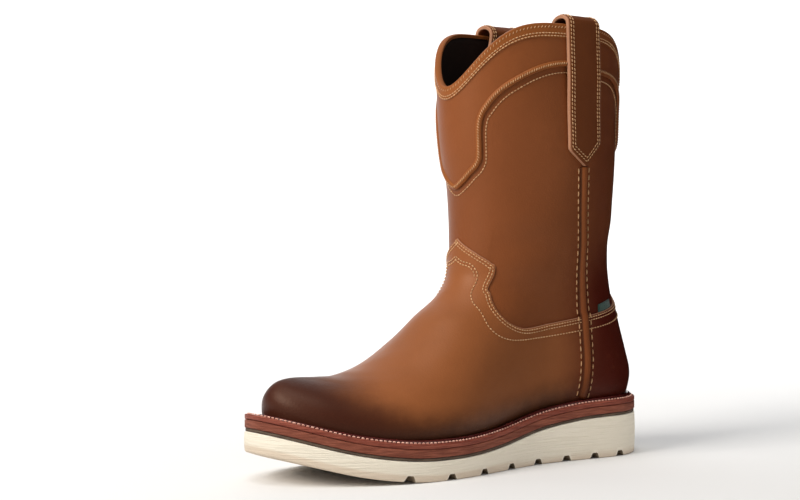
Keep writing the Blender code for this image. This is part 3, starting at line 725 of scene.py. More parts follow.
def useGroup(tree, group, **values):
    made = tree.nodes.new("ShaderNodeGroup")
    made.node_tree = group
    for key, value in values.items():
        feed(tree, made.inputs[key.replace("_", " ")], value)
    return made.outputs


def maths(tree, operation, first, second=0.0, clamp=False):
    return node(tree, "Math", {"operation": operation, "use_clamp": clamp}, i0=first, i1=second).outputs[0]


def times(tree, first, second):
    return maths(tree, "MULTIPLY", first, second)


def mixed(tree, factor, first, second):
    return node(tree, "Mix", {"data_type": "RGBA"}, i0=factor, i6=first, i7=second).outputs[2]


def ranged(tree, value, fromLow, fromHigh, toLow=0.0, toHigh=1.0):
    smooth = {"interpolation_type": "SMOOTHSTEP"}
    made = node(tree, "MapRange", smooth, i0=value, i1=fromLow, i2=fromHigh, i3=toLow, i4=toHigh)
    return made.outputs[0]


def scaledVector(tree, vector, scale):
    return node(tree, "VectorMath", {"operation": "MULTIPLY"}, i0=vector, i1=scale).outputs[0]


def noise(tree, vector, scale, detail=2.0, rough=0.5):
    made = node(tree, "TexNoise", None, Vector=vector, Scale=scale, Detail=detail, Roughness=rough)
    return made.outputs["Fac"]


def waves(tree, vector, bands, scale, bend):
    made = node(tree, "TexWave", {"bands_direction": bands}, Vector=vector, Scale=scale, Distortion=bend)
    return made.outputs["Fac"]


def buildGrain():
    # Fine pebbled grain with pores: heights from 0 to 1.
    tree, start, end = makeGroup("leatherGrain", [
        ("Cells Per Metre", "Float", 900.0),
        ("Softness", "Float", 0.5),
    ], [("Height", "Float"), ("Pores", "Float")])
    place, wander = start["Position"], (0.0016, 0.0016, 0.0016)
    bend = node(tree, "TexNoise", None, Vector=place, Scale=260.0, Detail=3.0).outputs["Color"]
    bent = node(tree, "VectorMath", {"operation": "MULTIPLY_ADD"}, i0=bend, i1=wander, i2=place).outputs[0]
    soft = node(tree, "TexVoronoi", {"feature": "SMOOTH_F1"}, Vector=bent, Smoothness=start["Softness"])
    feed(tree, soft.inputs["Scale"], start["Cells Per Metre"])
    pebble = ranged(tree, soft.outputs["Distance"], 0.05, 0.75, 1.0, 0.0)
    fine = noise(tree, place, 2600.0, 4.0, 0.6)
    pores = node(tree, "TexVoronoi", None, Vector=bent, Scale=1500.0).outputs["Distance"]
    height = maths(tree, "ADD", times(tree, pebble, 0.7), times(tree, fine, 0.3))
    tree.links.new(height, end["Height"])
    tree.links.new(ranged(tree, pores, 0.06, 0.2, 1.0, 0.0), end["Pores"])
    return tree


def buildDrift():
    # Slow changes of tone over a hide, about 0.5.
    tree, start, end = makeGroup("hideDrift", [
        ("Patches Per Metre", "Float", 22.0),
        ("Contrast", "Float", 1.0),
    ], [("Tone", "Float")])
    broad = noise(tree, start["Position"], start["Patches Per Metre"], 3.0, 0.55)
    fine = noise(tree, start["Position"], 170.0, 4.0, 0.6)
    tone = maths(tree, "ADD", times(tree, broad, 0.75), times(tree, fine, 0.25))
    away = times(tree, maths(tree, "SUBTRACT", tone, 0.5), start["Contrast"])
    tree.links.new(maths(tree, "ADD", away, 0.5, True), end["Tone"])
    return tree


def buildShade():
    # Lays one colour over another by a painted mask whose border is broken up by noise: burnish, painted
    # shade and the wedge's tread zone.
    tree, start, end = makeGroup("brokenMaskOverlay", [
        ("Color", "Color", (1, 1, 1, 1)),
        ("Shade", "Color", (0, 0, 0, 1)),
        ("Mask", "Float", 0.0),
        ("Breakup", "Float", 0.25),
    ], [("Color", "Color"), ("Mask", "Float")])
    cloud = noise(tree, start["Position"], 75.0, 5.0, 0.6)
    away = times(tree, maths(tree, "SUBTRACT", cloud, 0.5), start["Breakup"])
    border = times(tree, start["Mask"], maths(tree, "SUBTRACT", 1.0, start["Mask"]))
    mask = maths(tree, "ADD", start["Mask"], times(tree, away, times(tree, border, 4.0)), True)
    tree.links.new(mixed(tree, mask, start["Color"], start["Shade"]), end["Color"])
    tree.links.new(mask, end["Mask"])
    return tree


def buildScuffs():
    # Thin scratches, each a line where a stretched noise passes its middle.
    tree, start, end = makeGroup("hairScuffs", [
        ("Lines Per Metre", "Float", 60.0),
        ("Amount", "Float", 0.5),
    ], [("Mask", "Float")])
    turned = node(tree, "VectorRotate", {"rotation_type": "EULER_XYZ"}, i0=start["Position"])
    turned.inputs["Rotation"].default_value = (0.5, 0.35, 0.8)
    drawn = scaledVector(tree, turned.outputs[0], (1.0, 0.16, 1.0))
    lines = noise(tree, drawn, start["Lines Per Metre"])
    near = maths(tree, "ABSOLUTE", maths(tree, "SUBTRACT", lines, 0.5))
    thin = ranged(tree, near, 0.0, 0.006, 1.0, 0.0)
    patch = ranged(tree, noise(tree, start["Position"], 38.0), 0.52, 0.68)
    tree.links.new(times(tree, times(tree, thin, patch), start["Amount"]), end["Mask"])
    return tree


def buildStrata():
    # Thin level lines, as on sanded foam rubber and stacked leather.
    tree, start, end = makeGroup("levelLines", [
        ("Lines Per Metre", "Float", 1500.0),
        ("Run", "Float", 0.03),
    ], [("Lines", "Float")])
    spread = node(tree, "CombineXYZ", None, X=start["Run"], Y=start["Run"], Z=1.0).outputs[0]
    flat = scaledVector(tree, start["Position"], spread)
    lines = noise(tree, flat, start["Lines Per Metre"], 3.0, 0.65)
    tree.links.new(ranged(tree, lines, 0.3, 0.7), end["Lines"])
    return tree


grainGroup = buildGrain()
driftGroup = buildDrift()
shadeGroup = buildShade()
scuffGroup = buildScuffs()
strataGroup = buildStrata()


def startMaterial(name, shaderValues):
    made = bpy.data.materials.new(name)
    made.use_nodes = True
    tree = made.node_tree
    shader = tree.nodes["Principled BSDF"]
    for key, value in shaderValues.items():
        shader.inputs[key].default_value = value
    position = tree.nodes.new("ShaderNodeTexCoord").outputs["Object"]
    return made, tree, shader, position


def driftOver(tree, position, patches, contrast):
    return useGroup(tree, driftGroup, Position=position, Patches_Per_Metre=patches, Contrast=contrast)["Tone"]


def grainOver(tree, position, cells, softness):
    return useGroup(tree, grainGroup, Position=position, Cells_Per_Metre=cells, Softness=softness)


def linesOver(tree, position, lines, run):
    return useGroup(tree, strataGroup, Position=position, Lines_Per_Metre=lines, Run=run)["Lines"]


def shadeOver(tree, place, colour, shade, mark, breakup):
    mask = painted(tree, mark)
    laid = useGroup(tree, shadeGroup, Position=place, Color=colour, Shade=shade, Mask=mask, Breakup=breakup)
    return laid["Color"]


def painted(tree, mark):
    return node(tree, "Attribute", {"attribute_name": mark}).outputs["Fac"]


def addBump(tree, shader, height, depth):
    bump = node(tree, "Bump", None, Strength=1.0, Distance=depth, Height=height)
    tree.links.new(bump.outputs["Normal"], shader.inputs["Normal"])


# The oiled hide; colours are red, green and blue from 0 to 255
leatherLooks = {
    "toe": (62, 27, 16),
    # heel: dark red-brown for the heel's burnish and painted shade together
    "heel": (76, 18, 6),
    # foot: the dark band over the welt; on the side seams it also gives the painted shadow in the grooves
    # beside the roll
    "foot": (36, 13, 5),
    "rawEdge": (174, 126, 98),
    "grainDepth": 0.00007,
    "grainCells": 900.0,
    "poreTint": 0.18,
    "scuffs": 0.12,
    "roughness": 0.42,
    "rawRoughness": 0.35,  # added on bare fibre
}


def oiledLeather(name, red, green, blue):
    # A leather in one of the hide's tones, with its own lights and darks.
    looks = leatherLooks
    base = (red, green, blue)
    light = srgb(*[v * 1.1 + 4 for v in base])
    deep = srgb(*[v * 0.88 for v in base])
    made, tree, shader, position = startMaterial(name, {
        "Specular IOR Level": 0.28,
        "Specular Tint": (0.85, 0.58, 0.42, 1),
        "Coat Weight": 0.05,
        "Coat Roughness": 0.38,
    })
    tone = driftOver(tree, position, 16.0, 0.9)
    colour = mixed(tree, ranged(tree, tone, 0.1, 0.55), deep, srgb(*base))
    colour = mixed(tree, ranged(tree, tone, 0.5, 0.95), colour, light)
    # Dark tones laid by painted marks: the toe's burnish, the band over the welt with the side seams' painted
    # groove shadow, and the heel's burnish with painted shade.
    for part, breakup in (("foot", 0.5), ("heel", 0.35), ("toe", 0.45)):
        colour = shadeOver(tree, position, colour, srgb(*looks[part]), part + "Shade", breakup)
    grain = grainOver(tree, position, looks["grainCells"], 0.6)
    colour = mixed(tree, times(tree, grain["Pores"], looks["poreTint"]), colour, deep)
    scratched = useGroup(tree, scuffGroup, Position=position, Lines_Per_Metre=70.0, Amount=looks["scuffs"])
    scuffs = scratched["Mask"]
    colour = mixed(tree, scuffs, colour, light)
    colour = mixed(tree, painted(tree, "rawEdge"), colour, srgb(*looks["rawEdge"]))
    tree.links.new(colour, shader.inputs["Base Color"])
    rough = ranged(tree, tone, 0.2, 0.8, looks["roughness"] - 0.06, looks["roughness"] + 0.08)
    bare = times(tree, painted(tree, "rawEdge"), looks["rawRoughness"])
    tree.links.new(maths(tree, "ADD", rough, bare, True), shader.inputs["Roughness"])
    height = maths(tree, "SUBTRACT", grain["Height"], times(tree, scuffs, 0.4))
    addBump(tree, shader, height, looks["grainDepth"])
    return made


vampLeather = oiledLeather("vampLeather", 140, 82, 45)
shaftLeather = oiledLeather("shaftLeather", 124, 68, 35)
collarLeather = oiledLeather("collarLeather", 130, 72, 37)
bindingLeather = oiledLeather("bindingLeather", 140, 80, 38)
strapLeather = oiledLeather("strapLeather", 106, 55, 25)
pipingLeather = oiledLeather("pipingLeather", 140, 80, 38)
seamLeather = oiledLeather("seamLeather", 130, 71, 34)


def makePlainHide(name, dark, pale, roughness, specular, patches, contrast, cells, softness):
    looks = {"Roughness": roughness, "Specular IOR Level": specular}
    made, tree, shader, position = startMaterial(name, looks)
    tone = driftOver(tree, position, patches, contrast)
    tree.links.new(mixed(tree, tone, srgb(*dark), srgb(*pale)), shader.inputs["Base Color"])
    addBump(tree, shader, grainOver(tree, position, cells, softness)["Height"], 0.0001)
    return made


liningLeather = makePlainHide("liningLeather", (22, 10, 6), (40, 22, 14), 0.7, 0.3, 30.0, 1.5, 1300.0, 0.4)
insoleLeather = makePlainHide(
    "insoleLeather", (120, 84, 54), (164, 124, 86), 0.65, 0.35, 40.0, 1.6, 1100.0, 0.5
)


def makeThreadLook(name, pale, dark, soiled=(120, 78, 44)):
    looks = {"Roughness": 0.55, "Sheen Weight": 0.15, "Specular IOR Level": 0.4}
    made, tree, shader, position = startMaterial(name, looks)
    colour = mixed(tree, painted(tree, "tint"), srgb(*dark), srgb(*pale))
    soil = ranged(tree, noise(tree, position, 420.0), 0.5, 0.75, 0.0, 0.35)
    tree.links.new(mixed(tree, soil, colour, srgb(*soiled)), shader.inputs["Base Color"])
    addBump(tree, shader, waves(tree, position, "DIAGONAL", 900.0, 1.0), 0.00012)
    return made


paleThread = makeThreadLook("paleThread", (226, 178, 128), (196, 146, 98))
weltThread = makeThreadLook("weltThread", (236, 184, 164), (206, 146, 126))


def makeWeltLook(name, base, light, lineDepth, roughness, coat=0.0):
    made, tree, shader, position = startMaterial(name, {
        "Roughness": roughness,
        "Specular IOR Level": 0.45,
        "Specular Tint": (0.95, 0.6, 0.52, 1),
        "Coat Weight": coat,
        "Coat Roughness": 0.2,
    })
    lines = linesOver(tree, position, 1300.0, 0.05)
    tone = driftOver(tree, position, 60.0, 2.0)
    colour = mixed(tree, lines, srgb(*base), srgb(*light))
    colour = mixed(tree, times(tree, tone, 0.5), colour, srgb(*base))
    tree.links.new(colour, shader.inputs["Base Color"])
    addBump(tree, shader, maths(tree, "ADD", lines, times(tree, tone, 0.6)), lineDepth)
    return made


weltLeather = makeWeltLook("weltLeather", (98, 38, 26), (146, 78, 60), 0.0002, 0.55)
midsoleLeather = makeWeltLook("midsoleLeather", (98, 46, 32), (148, 86, 66), 0.0003, 0.65)
beadLeather = makeWeltLook("beadLeather", (56, 15, 14), (78, 26, 23), 0.00003, 0.26, 0.15)


def makeFillerLook():
    made, tree, shader, position = startMaterial("greyFiller", {"Roughness": 0.75, "Specular IOR Level": 0.3})
    lines = linesOver(tree, position, 1100.0, 0.08)
    tree.links.new(mixed(tree, lines, srgb(64, 50, 40), srgb(98, 82, 68)), shader.inputs["Base Color"])
    addBump(tree, shader, lines, 0.0002)
    return made


greyFiller = makeFillerLook()


def makeWedgeLook(name, pale, dark, tread):
    made, tree, shader, position = startMaterial(name, {"Roughness": 0.7, "Specular IOR Level": 0.35})
    lines = linesOver(tree, position, 950.0, 0.025)
    cells = node(tree, "TexVoronoi", None, Vector=position, Scale=2600.0).outputs["Distance"]
    tone = driftOver(tree, position, 28.0, 1.5)
    colour = mixed(tree, times(tree, lines, 0.4), srgb(*pale), srgb(*dark))
    colour = mixed(tree, times(tree, tone, 0.35), colour, srgb(*dark))
    colour = shadeOver(tree, position, colour, srgb(*tread), "treadZone", 0.6)
    tree.links.new(colour, shader.inputs["Base Color"])
    height = maths(tree, "ADD", times(tree, lines, 0.8), times(tree, cells, 0.25))
    addBump(tree, shader, height, 0.00028)
    return made


creamRubber = makeWedgeLook("creamRubber", (228, 220, 204), (206, 196, 176), (206, 190, 170))
# The rubber on the grooves' walls and roof, darker than the wedge's side.
grooveRubber = makeWedgeLook("grooveRubber", (168, 150, 126), (130, 110, 90), (140, 120, 98))


def makeLabelLook():
    made, tree, shader, position = startMaterial("greenCloth", {"Roughness": 0.85, "Sheen Weight": 0.3})
    weave = times(tree, waves(tree, position, "Z", 520.0, 0.4), waves(tree, position, "Y", 520.0, 0.4))
    tree.links.new(mixed(tree, weave, srgb(10, 46, 38), srgb(28, 90, 72)), shader.inputs["Base Color"])
    addBump(tree, shader, weave, 0.00012)
    return made


greenCloth = makeLabelLook()
print("materials made")


# Burnish and painted shade on the hide, by place

burnishAndShade = {
    "toeTop": 0.050,  # how far the dark toe reaches back along its top
    "toeSide": 0.094,  # and along the welt
    "toeLow": 0.030,  # height over which the one turns into the other
    "toeFade": (0.35, 1.45),  # the toe's border, in shares of its reach
    "footHeight": 0.026,  # height of the dark band over the welt
    "footDepth": 0.85,
    # The heel's dark tone, and what is left of it up the shaft's back, is burnish together with painted shade
    # for the side turned away from the light.
    "heelFade": (0.058, 0.104),  # Y from where the heel darkens to where it is full
    "shaftBack": 0.45,  # how much of that is left on the shaft above the counter
    "shaftFade": (0.07, 0.13),
}


def burnishAndShadeMarks(points):
    points = np.concatenate(points) if isinstance(points, list) else points.reshape(-1, 3)
    height = points[:, 2] - soleTop(alongOf(points))
    low = 1 - fade(0.0, burnishAndShade["toeLow"], height)
    reach = burnishAndShade["toeTop"] + (burnishAndShade["toeSide"] - burnishAndShade["toeTop"]) * low
    near, far = burnishAndShade["toeFade"]
    toe = 1 - fade(near * reach, far * reach, points[:, 1] - frontPlace(0))
    foot = (1 - fade(0.0, burnishAndShade["footHeight"], height)) * burnishAndShade["footDepth"]
    # The heel's burnish with painted shade, fading in towards the back and lighter up the shaft.
    heel = fade(*burnishAndShade["heelFade"], points[:, 1])
    heel = heel * (1 - (1 - burnishAndShade["shaftBack"]) * fade(*burnishAndShade["shaftFade"], height))
    return {"toeShade": toe, "footShade": foot, "heelShade": heel}


def marksWithEdge(rings, raw):
    marks = burnishAndShadeMarks(rings)
    marks["rawEdge"] = np.repeat(raw, len(rings[0]))
    return marks


def metresPerUp(up, turn):
    step = 0.004
    return np.linalg.norm(onUpper(up, turn, 0) - onUpper(up - step, turn, 0), axis=-1) / step


proud = last["overlay"] / 2
innerLift = -last["overlay"] / 2 - last["leather"]


def weltSeat(along):
    # The level at which the upper stands on the welt.
    return soleTop(along) + last["gap"]


# The shaft: one wall from the welt to the collar, with its lining inside

shaftWall = {
    "columns": 400,
    "hiddenRows": 66,
    "hidden": (0.1, 0.94),  # shares of the way up to the vamp's edge
    "rows": 112,
    "lap": 0.008,  # how far it runs on under the vamp and the collar
    "topRows": 6,
    "top": 0.997,
    "liningRows": 58,
    "liningFoot": 0.012,
}


def makeShaft():
    wall, lap = shaftWall, shaftWall["lap"]
    turns = aroundTurns(wall["columns"])
    top, foot = vampTop(turns), collarFoot(turns)
    rings = [footRing(turns, -proud, weltSeat)]
    for share in np.linspace(*wall["hidden"], wall["hiddenRows"]):
        rings.append(onUpper(top * share, turns, -proud))
    for share in np.linspace(0, 1, wall["rows"]):
        rings.append(onUpper(top - lap + share * (foot - top + 2 * lap), turns, -proud))
    for share in np.linspace(0.2, 1, wall["topRows"]):
        rings.append(onUpper(foot + lap + share * (wall["top"] - foot - lap), turns, -proud))
    outer = len(rings)
    for up in np.linspace(wall["top"], wall["liningFoot"], wall["liningRows"]):
        rings.append(onUpper(up, turns, innerLift))
    rings.append(footRing(turns, innerLift, weltSeat))
    looks = [0] * (outer - 1) + [1] * (len(rings) - outer + 1)
    marks = marksWithEdge(rings, [0] * len(rings))
    standFor(addBand("shaft", rings, [shaftLeather, liningLeather], looks, marks), "upper")


makeShaft()
print("shaft made")


# Vamp and counter: one overlay whose cut edge stands proud of the shaft

vampPanel = {"columns": 500, "rows": 122, "underRows": 66, "foot": 0.008, "under": 1.05, "edge": 0.0022}
# distance below the cut edge, height over the form's middle as a share of the half overlay,
# bare fibre
cutEdge = (
    (0.0012, 1.0, 0.0),
    (0.0006, 0.97, 0.15),
    (0.00025, 0.85, 0.6),
    (0.00005, 0.6, 1.0),
    (0.0, 0.2, 1.0),
    (0.0, -0.4, 1.0),
    (0.0, -1.0, 0.9),
)


def makeVamp():
    panel = vampPanel
    turns = aroundTurns(panel["columns"])
    top = vampTop(turns)
    scale = metresPerUp(top, turns)
    rings = [footRing(turns, proud, weltSeat)]
    edgeStart = top - panel["edge"] / scale
    for share in np.linspace(panel["foot"], 1, panel["rows"]):
        rings.append(onUpper(edgeStart * share, turns, proud))
    raw = [0.0] * len(rings)
    for below, high, bare in cutEdge:
        rings.append(onUpper(top - below / scale, turns, proud * high))
        raw.append(bare)
    for share in np.linspace(1 - panel["foot"], panel["foot"], panel["underRows"]):
        rings.append(onUpper(top * share, turns, -proud * panel["under"]))
        raw.append(0.0)
    piece = addBand("vampAndCounter", rings, [vampLeather], None, marksWithEdge(rings, raw))
    standFor(piece, "upper")


makeVamp()
print("vamp and counter made")


# Collar: facing, the rolled ridge along its lower edge, and the binding over the top

collarParts = {
    "columns": 440,
    "rows": 26,
    "underRows": 6,
    "top": 0.998,
    "pipingWidth": 0.0042,
    "pipingHeight": 0.0012,
    "pipingBack": 0.3,  # its height under the leather, as a share
    "pipingSpacing": 0.0014,
    "pipingRise": 0.004,  # up from the facing's edge
    "bindingDepth": 0.0088,
    "bindingLift": 0.0005,
    "bindingRise": 0.0012,
    "bindingInside": 0.0022,
}


def makeCollarFacing():
    turns, top = aroundTurns(collarParts["columns"]), collarParts["top"]
    foot = collarFoot(turns)
    scale = metresPerUp(foot, turns)
    rings = []
    for below, high, _ in reversed(cutEdge):
        rings.append(onUpper(foot + below / scale, turns, proud * high))
    edgeEnd = foot + vampPanel["edge"] / scale
    for share in np.linspace(0, 1, collarParts["rows"]):
        rings.append(onUpper(edgeEnd + share * (top - edgeEnd), turns, proud))
    for share in np.linspace(top, 0, collarParts["underRows"]):
        rings.append(onUpper(foot + share * (top - foot), turns, -proud * vampPanel["under"]))
    piece = addBand("collarFacing", rings, [collarLeather], None, marksWithEdge(rings, [0] * len(rings)))
    standFor(piece, "upper")


def evenTurns(upOf, spacing):
    # Turns that follow each other evenly along a line round the boot.
    turns = np.linspace(-1, 1, 2001)
    line = onUpper(upOf(turns), turns, 0)
    run = np.concatenate([[0], np.cumsum(np.linalg.norm(np.diff(line, axis=0), axis=1))])
    count = int(run[-1] / spacing)
    return np.interp(np.linspace(0, run[-1], count + 1)[:-1], run, turns)


def acrossOf(points, normals, closed):
    # Unit vectors across a line on the surface, to its left as seen from outside.
    if closed:
        ahead = np.roll(points, -1, 0) - np.roll(points, 1, 0)
    else:
        ahead = np.gradient(points, axis=0)
    return unit(np.cross(normals, unit(ahead)))


def makeCollarPiping():
    # Returns the softened line that it follows, as turns and ups.
    turns = evenTurns(lambda t: collarFoot(t) + collarParts["pipingRise"], collarParts["pipingSpacing"])
    ups = collarFoot(turns) + collarParts["pipingRise"]
    for _ in range(3):
        ups = (np.roll(ups, 1) + 2 * ups + np.roll(ups, -1)) / 4
    points = onUpper(ups, turns, 0)
    normals = unit(readGrid(formNormals, ups, turns))
    across = acrossOf(points, normals, True)
    rings = []
    for degrees in range(0, 360, 24):
        angle = math.radians(degrees)
        wide = collarParts["pipingWidth"] / 2 * math.cos(angle)
        swell = math.sin(angle) * (1 if degrees < 180 else collarParts["pipingBack"])
        high = proud * 0.2 + (proud * 0.8 + collarParts["pipingHeight"]) * swell
        rings.append(points - across * wide + normals * high)
    piece = addBand("collarPiping", rings, [pipingLeather], None, burnishAndShadeMarks(rings))
    standFor(piece, "upper")
    return turns, ups


def overEdge(turns, rise, lift):
    # A point over the collar's edge: rise above it and lift along the form's normal.
    edge = onUpper(1, turns, 0)
    tangent = unit(edge - onUpper(0.985, turns, 0))
    normal = unit(readGrid(formNormals, 1, turns))
    return edge + tangent * rise + normal * lift


def makeBinding():
    turns = aroundTurns(collarParts["columns"])
    scale = metresPerUp(1.0, turns)
    outside, lift, rise = proud, collarParts["bindingLift"], collarParts["bindingRise"]
    depth, inside = collarParts["bindingDepth"] / scale, collarParts["bindingInside"] / scale
    rings = [
        onUpper(1 - depth, turns, outside - 0.0003),
        onUpper(1 - depth, turns, outside + 0.5 * lift),
        onUpper(1 - depth * 0.96, turns, outside + 0.92 * lift),
    ]
    for share in np.linspace(0.9, 0.08, 14):
        crown = lift * (1 + 0.25 * math.sin(math.pi * share))
        rings.append(onUpper(1 - depth * share, turns, outside + crown))
    middle, half = (outside + innerLift) / 2, (outside - innerLift) / 2 + lift
    for degrees in range(10, 180, 16):
        angle = math.radians(degrees)
        over = rise * math.sin(angle) ** 0.8 - 0.0006
        rings.append(overEdge(turns, over, middle + half * math.cos(angle)))
    for share in np.linspace(0.05, 0.96, 10):
        rings.append(onUpper(1 - inside * share, turns, innerLift - lift))
    rings += [
        onUpper(1 - inside, turns, innerLift - 0.4 * lift),
        onUpper(1 - inside, turns, innerLift + 0.0002),
        onUpper(0.995, turns, innerLift + 0.0004),
        onUpper(0.995, turns, outside - 0.0004),
    ]
    piece = addBand("collarBinding", rings, [bindingLeather], None, burnishAndShadeMarks(rings))
    standFor(piece, "upper")


makeCollarFacing()
pipingTurns, pipingUps = makeCollarPiping()
makeBinding()
print("collar made")


# Sole: wedge with open grooves, filler, midsole, welt with its bead

sole = {
    "columns": 440,
    "edgeRound": 0.0012,
    "groovePitch": 0.023,
    "pitchGrowth": 0.0014,
    "grooveWidth": 0.0085,
    "grooveTop": 0.0045,
    "grooveDepth": 0.004,
    "firstGroove": 0.037,
    "blindDepth": 0.003,
    "openTo": 0.238,
    "blindShare": 0.62,  # of the half width there
    "grooveSoft": 0.0006,
    "bulge": 0.0004,
    "sharpCut": 32,
    "treadBand": 0.0046,
}
weltShape = {"soft": 0.0006, "flat": 0.0022, "beadOut": 0.00185, "beadHalf": 0.0015, "beadRise": 0.0021}
# How far in from the wall and how high over the welt each ring of the insole's edge lies
insoleShape = {"columns": 360, "edge": ((0.0004, 0.0015), (0.0009, 0.0023), (0.0018, 0.0025))}


def grooveSection(depth):
    # A notch with a soft roof, wider at the floor, reaching as far below the floor as above it.
    top, foot, soft = sole["grooveTop"] / 2, sole["grooveWidth"] / 2, sole["grooveSoft"]
    flare = (foot - top) / depth
    shoulder = (top + flare * 0.3 * soft, depth - 0.9 * soft)
    right = [(top - soft, depth), shoulder, (foot + flare * depth, -depth)]
    return [(-top + soft, depth)] + right + [(-y, z) for y, z in reversed(right[1:])]


def grooveBars():
    points, faces = [], []
    along, pitch = sole["firstGroove"], sole["groovePitch"]
    while along < outsoleLength - 1.5 * sole["groovePitch"]:
        if along < sole["openTo"]:
            depth, half = sole["grooveDepth"], last["ballWidth"]
        else:
            narrow = float(min(soleSide(along, 1), -soleSide(along, -1)))
            depth, half = sole["blindDepth"], sole["blindShare"] * narrow
        tilt = math.atan(float((underside(along + 0.004) - underside(along - 0.004)) / 0.008))
        section = grooveSection(depth)
        base, n = len(points), len(section)
        for x in (-half, half):
            for y, z in section:
                turnedY = y * math.cos(tilt) + z * math.sin(tilt)
                turnedZ = -y * math.sin(tilt) + z * math.cos(tilt)
                points.append((x, outsoleLength / 2 - along + turnedY, float(underside(along)) + turnedZ))
        faces.append(tuple(base + i for i in range(n)))
        faces.append(tuple(base + n + i for i in reversed(range(n))))
        for i in range(n):
            k = (i + 1) % n
            faces.append((base + k, base + i, base + n + i, base + n + k))
        along += pitch
        pitch += sole["pitchGrowth"]
    mesh = bpy.data.meshes.new("grooveBars")
    mesh.from_pydata(points, [], faces)
    for made in (creamRubber, grooveRubber):
        mesh.materials.append(made)
    mesh.polygons.foreach_set("material_index", [1] * len(mesh.polygons))
    bars = bpy.data.objects.new("grooveBars", mesh)
    scene.collection.objects.link(bars)
    return bars


def between(low, high, share):
    # The level at a share of the way from one level up to another.
    return lambda at: low(at) + share * (high(at) - low(at))


def above(level, rise):
    return lambda at: level(at) + rise


def makeOutsole():
    turns, soft = aroundTurns(sole["columns"]), sole["edgeRound"]
    rings = []
    for degrees in (0, 30, 60, 90):
        angle = math.radians(degrees)
        rise = soft * (1 - math.cos(angle))
        rings.append(rimRing(turns, -soft * (1 - math.sin(angle)), above(underside, rise)))
    for share in (0.2, 0.35, 0.5, 0.65, 0.8, 0.92):
        bulge = sole["bulge"] * math.sin(math.pi * share)
        rings.append(rimRing(turns, bulge, between(above(underside, soft), wedgeTop, share)))
    rings.append(rimRing(turns, -0.0001, above(wedgeTop, -0.0003)))
    rings.append(rimRing(turns, -0.0005, wedgeTop))
    points = np.concatenate(rings)
    height = points[:, 2] - underside(alongOf(points))
    tread = 1 - fade(sole["treadBand"] * 0.8, sole["treadBand"] * 1.1, height)
    piece = addStack("wedgeOutsole", rings, [creamRubber, grooveRubber], {"treadZone": tread})
    bars = grooveBars()
    cut = piece.modifiers.new("grooves", "BOOLEAN")
    cut.operation, cut.solver, cut.object = "DIFFERENCE", "EXACT", bars
    cut.material_mode = "INDEX"
    evaluated = piece.evaluated_get(bpy.context.evaluated_depsgraph_get())
    mesh = bpy.data.meshes.new_from_object(evaluated)
    piece.modifiers.clear()
    piece.data = mesh
    mesh.polygons.foreach_set("use_smooth", [True] * len(mesh.polygons))
    mesh.set_sharp_from_angle(angle=math.radians(sole["sharpCut"]))
    bpy.data.objects.remove(bars)
    standFor(piece, "outsole")


def makeSlab(name, low, high, looks, material, cadNode):
    # A slab between two levels with softened edges.
    turns, soft, outset = aroundTurns(sole["columns"]), looks["soft"], looks["outset"]
    rings = [rimRing(turns, outset - soft, low), rimRing(turns, outset - 0.3 * soft, above(low, 0.3 * soft))]
    for share in np.linspace(0.12, 0.88, looks["rows"]):
        rings.append(rimRing(turns, outset, between(low, high, share)))
    rings.append(rimRing(turns, outset - 0.3 * soft, above(high, -0.3 * soft)))
    rings.append(rimRing(turns, outset - soft, high))
    piece = addStack(name, rings, [material])
    piece.data.set_sharp_from_angle(angle=math.radians(60))
    standFor(piece, cadNode)


def makeWelt():
    turns, soft = aroundTurns(sole["columns"]), weltShape["soft"]
    low = above(midsoleTop, last["gap"])
    rings = [
        footRing(turns, innerLift, low),
        rimRing(turns, -soft, low),
        rimRing(turns, -0.2 * soft, above(low, 0.3 * soft)),
    ]
    rings += [rimRing(turns, 0.0, between(low, soleTop, share)) for share in (0.25, 0.5, 0.75)]
    rings.append(rimRing(turns, -0.25 * soft, above(soleTop, -0.35 * soft)))
    rings.append(rimRing(turns, -soft, soleTop))
    rings.append(rimRing(turns, -weltShape["flat"], above(soleTop, 0.0001)))
    weltRings = len(rings)
    beadMiddle = proud + last["gap"] + weltShape["beadOut"]
    for degrees in range(0, 181, 15):
        angle = math.radians(degrees)
        out = beadMiddle + weltShape["beadHalf"] * math.cos(angle)
        rise = weltShape["beadRise"] * math.sin(angle) ** 0.85 - 0.0001
        rings.append(footRing(turns, out, above(soleTop, rise)))
    rings.append(footRing(turns, innerLift, above(soleTop, -0.0001)))
    looks = [0] * (weltRings - 1) + [1] * (len(rings) - weltRings + 1)
    piece = addBand("weltWithBead", rings, [weltLeather, beadLeather], looks)
    piece.data.set_sharp_from_angle(angle=math.radians(70))
    standFor(piece, "welt")


def makeInsole():
    turns = aroundTurns(insoleShape["columns"])
    edge = innerLift - last["gap"]
    rings = [footRing(turns, edge, above(soleTop, last["gap"] - last["welt"]))]
    rings += [footRing(turns, edge - inward, above(soleTop, rise)) for inward, rise in insoleShape["edge"]]
    piece = addStack("insole", rings, [insoleLeather])
    piece.data.set_sharp_from_angle(angle=math.radians(60))
    standFor(piece, "insole")


makeOutsole()
makeSlab(
    "soleFiller", above(wedgeTop, last["gap"]), above(wedgeTop, last["filler"]),
    {"outset": -0.0005, "soft": 0.0003, "rows": 3}, greyFiller, "midsole_filler",
)
makeSlab(
    "midsole", above(wedgeTop, last["filler"] + last["gap"]), midsoleTop,
    {"outset": 0.0, "soft": 0.0005, "rows": 6}, midsoleLeather, "midsole",
)
makeWelt()
makeInsole()
print("sole made")


# Pull straps: two layers of leather, from a point on the shaft over the collar and down inside

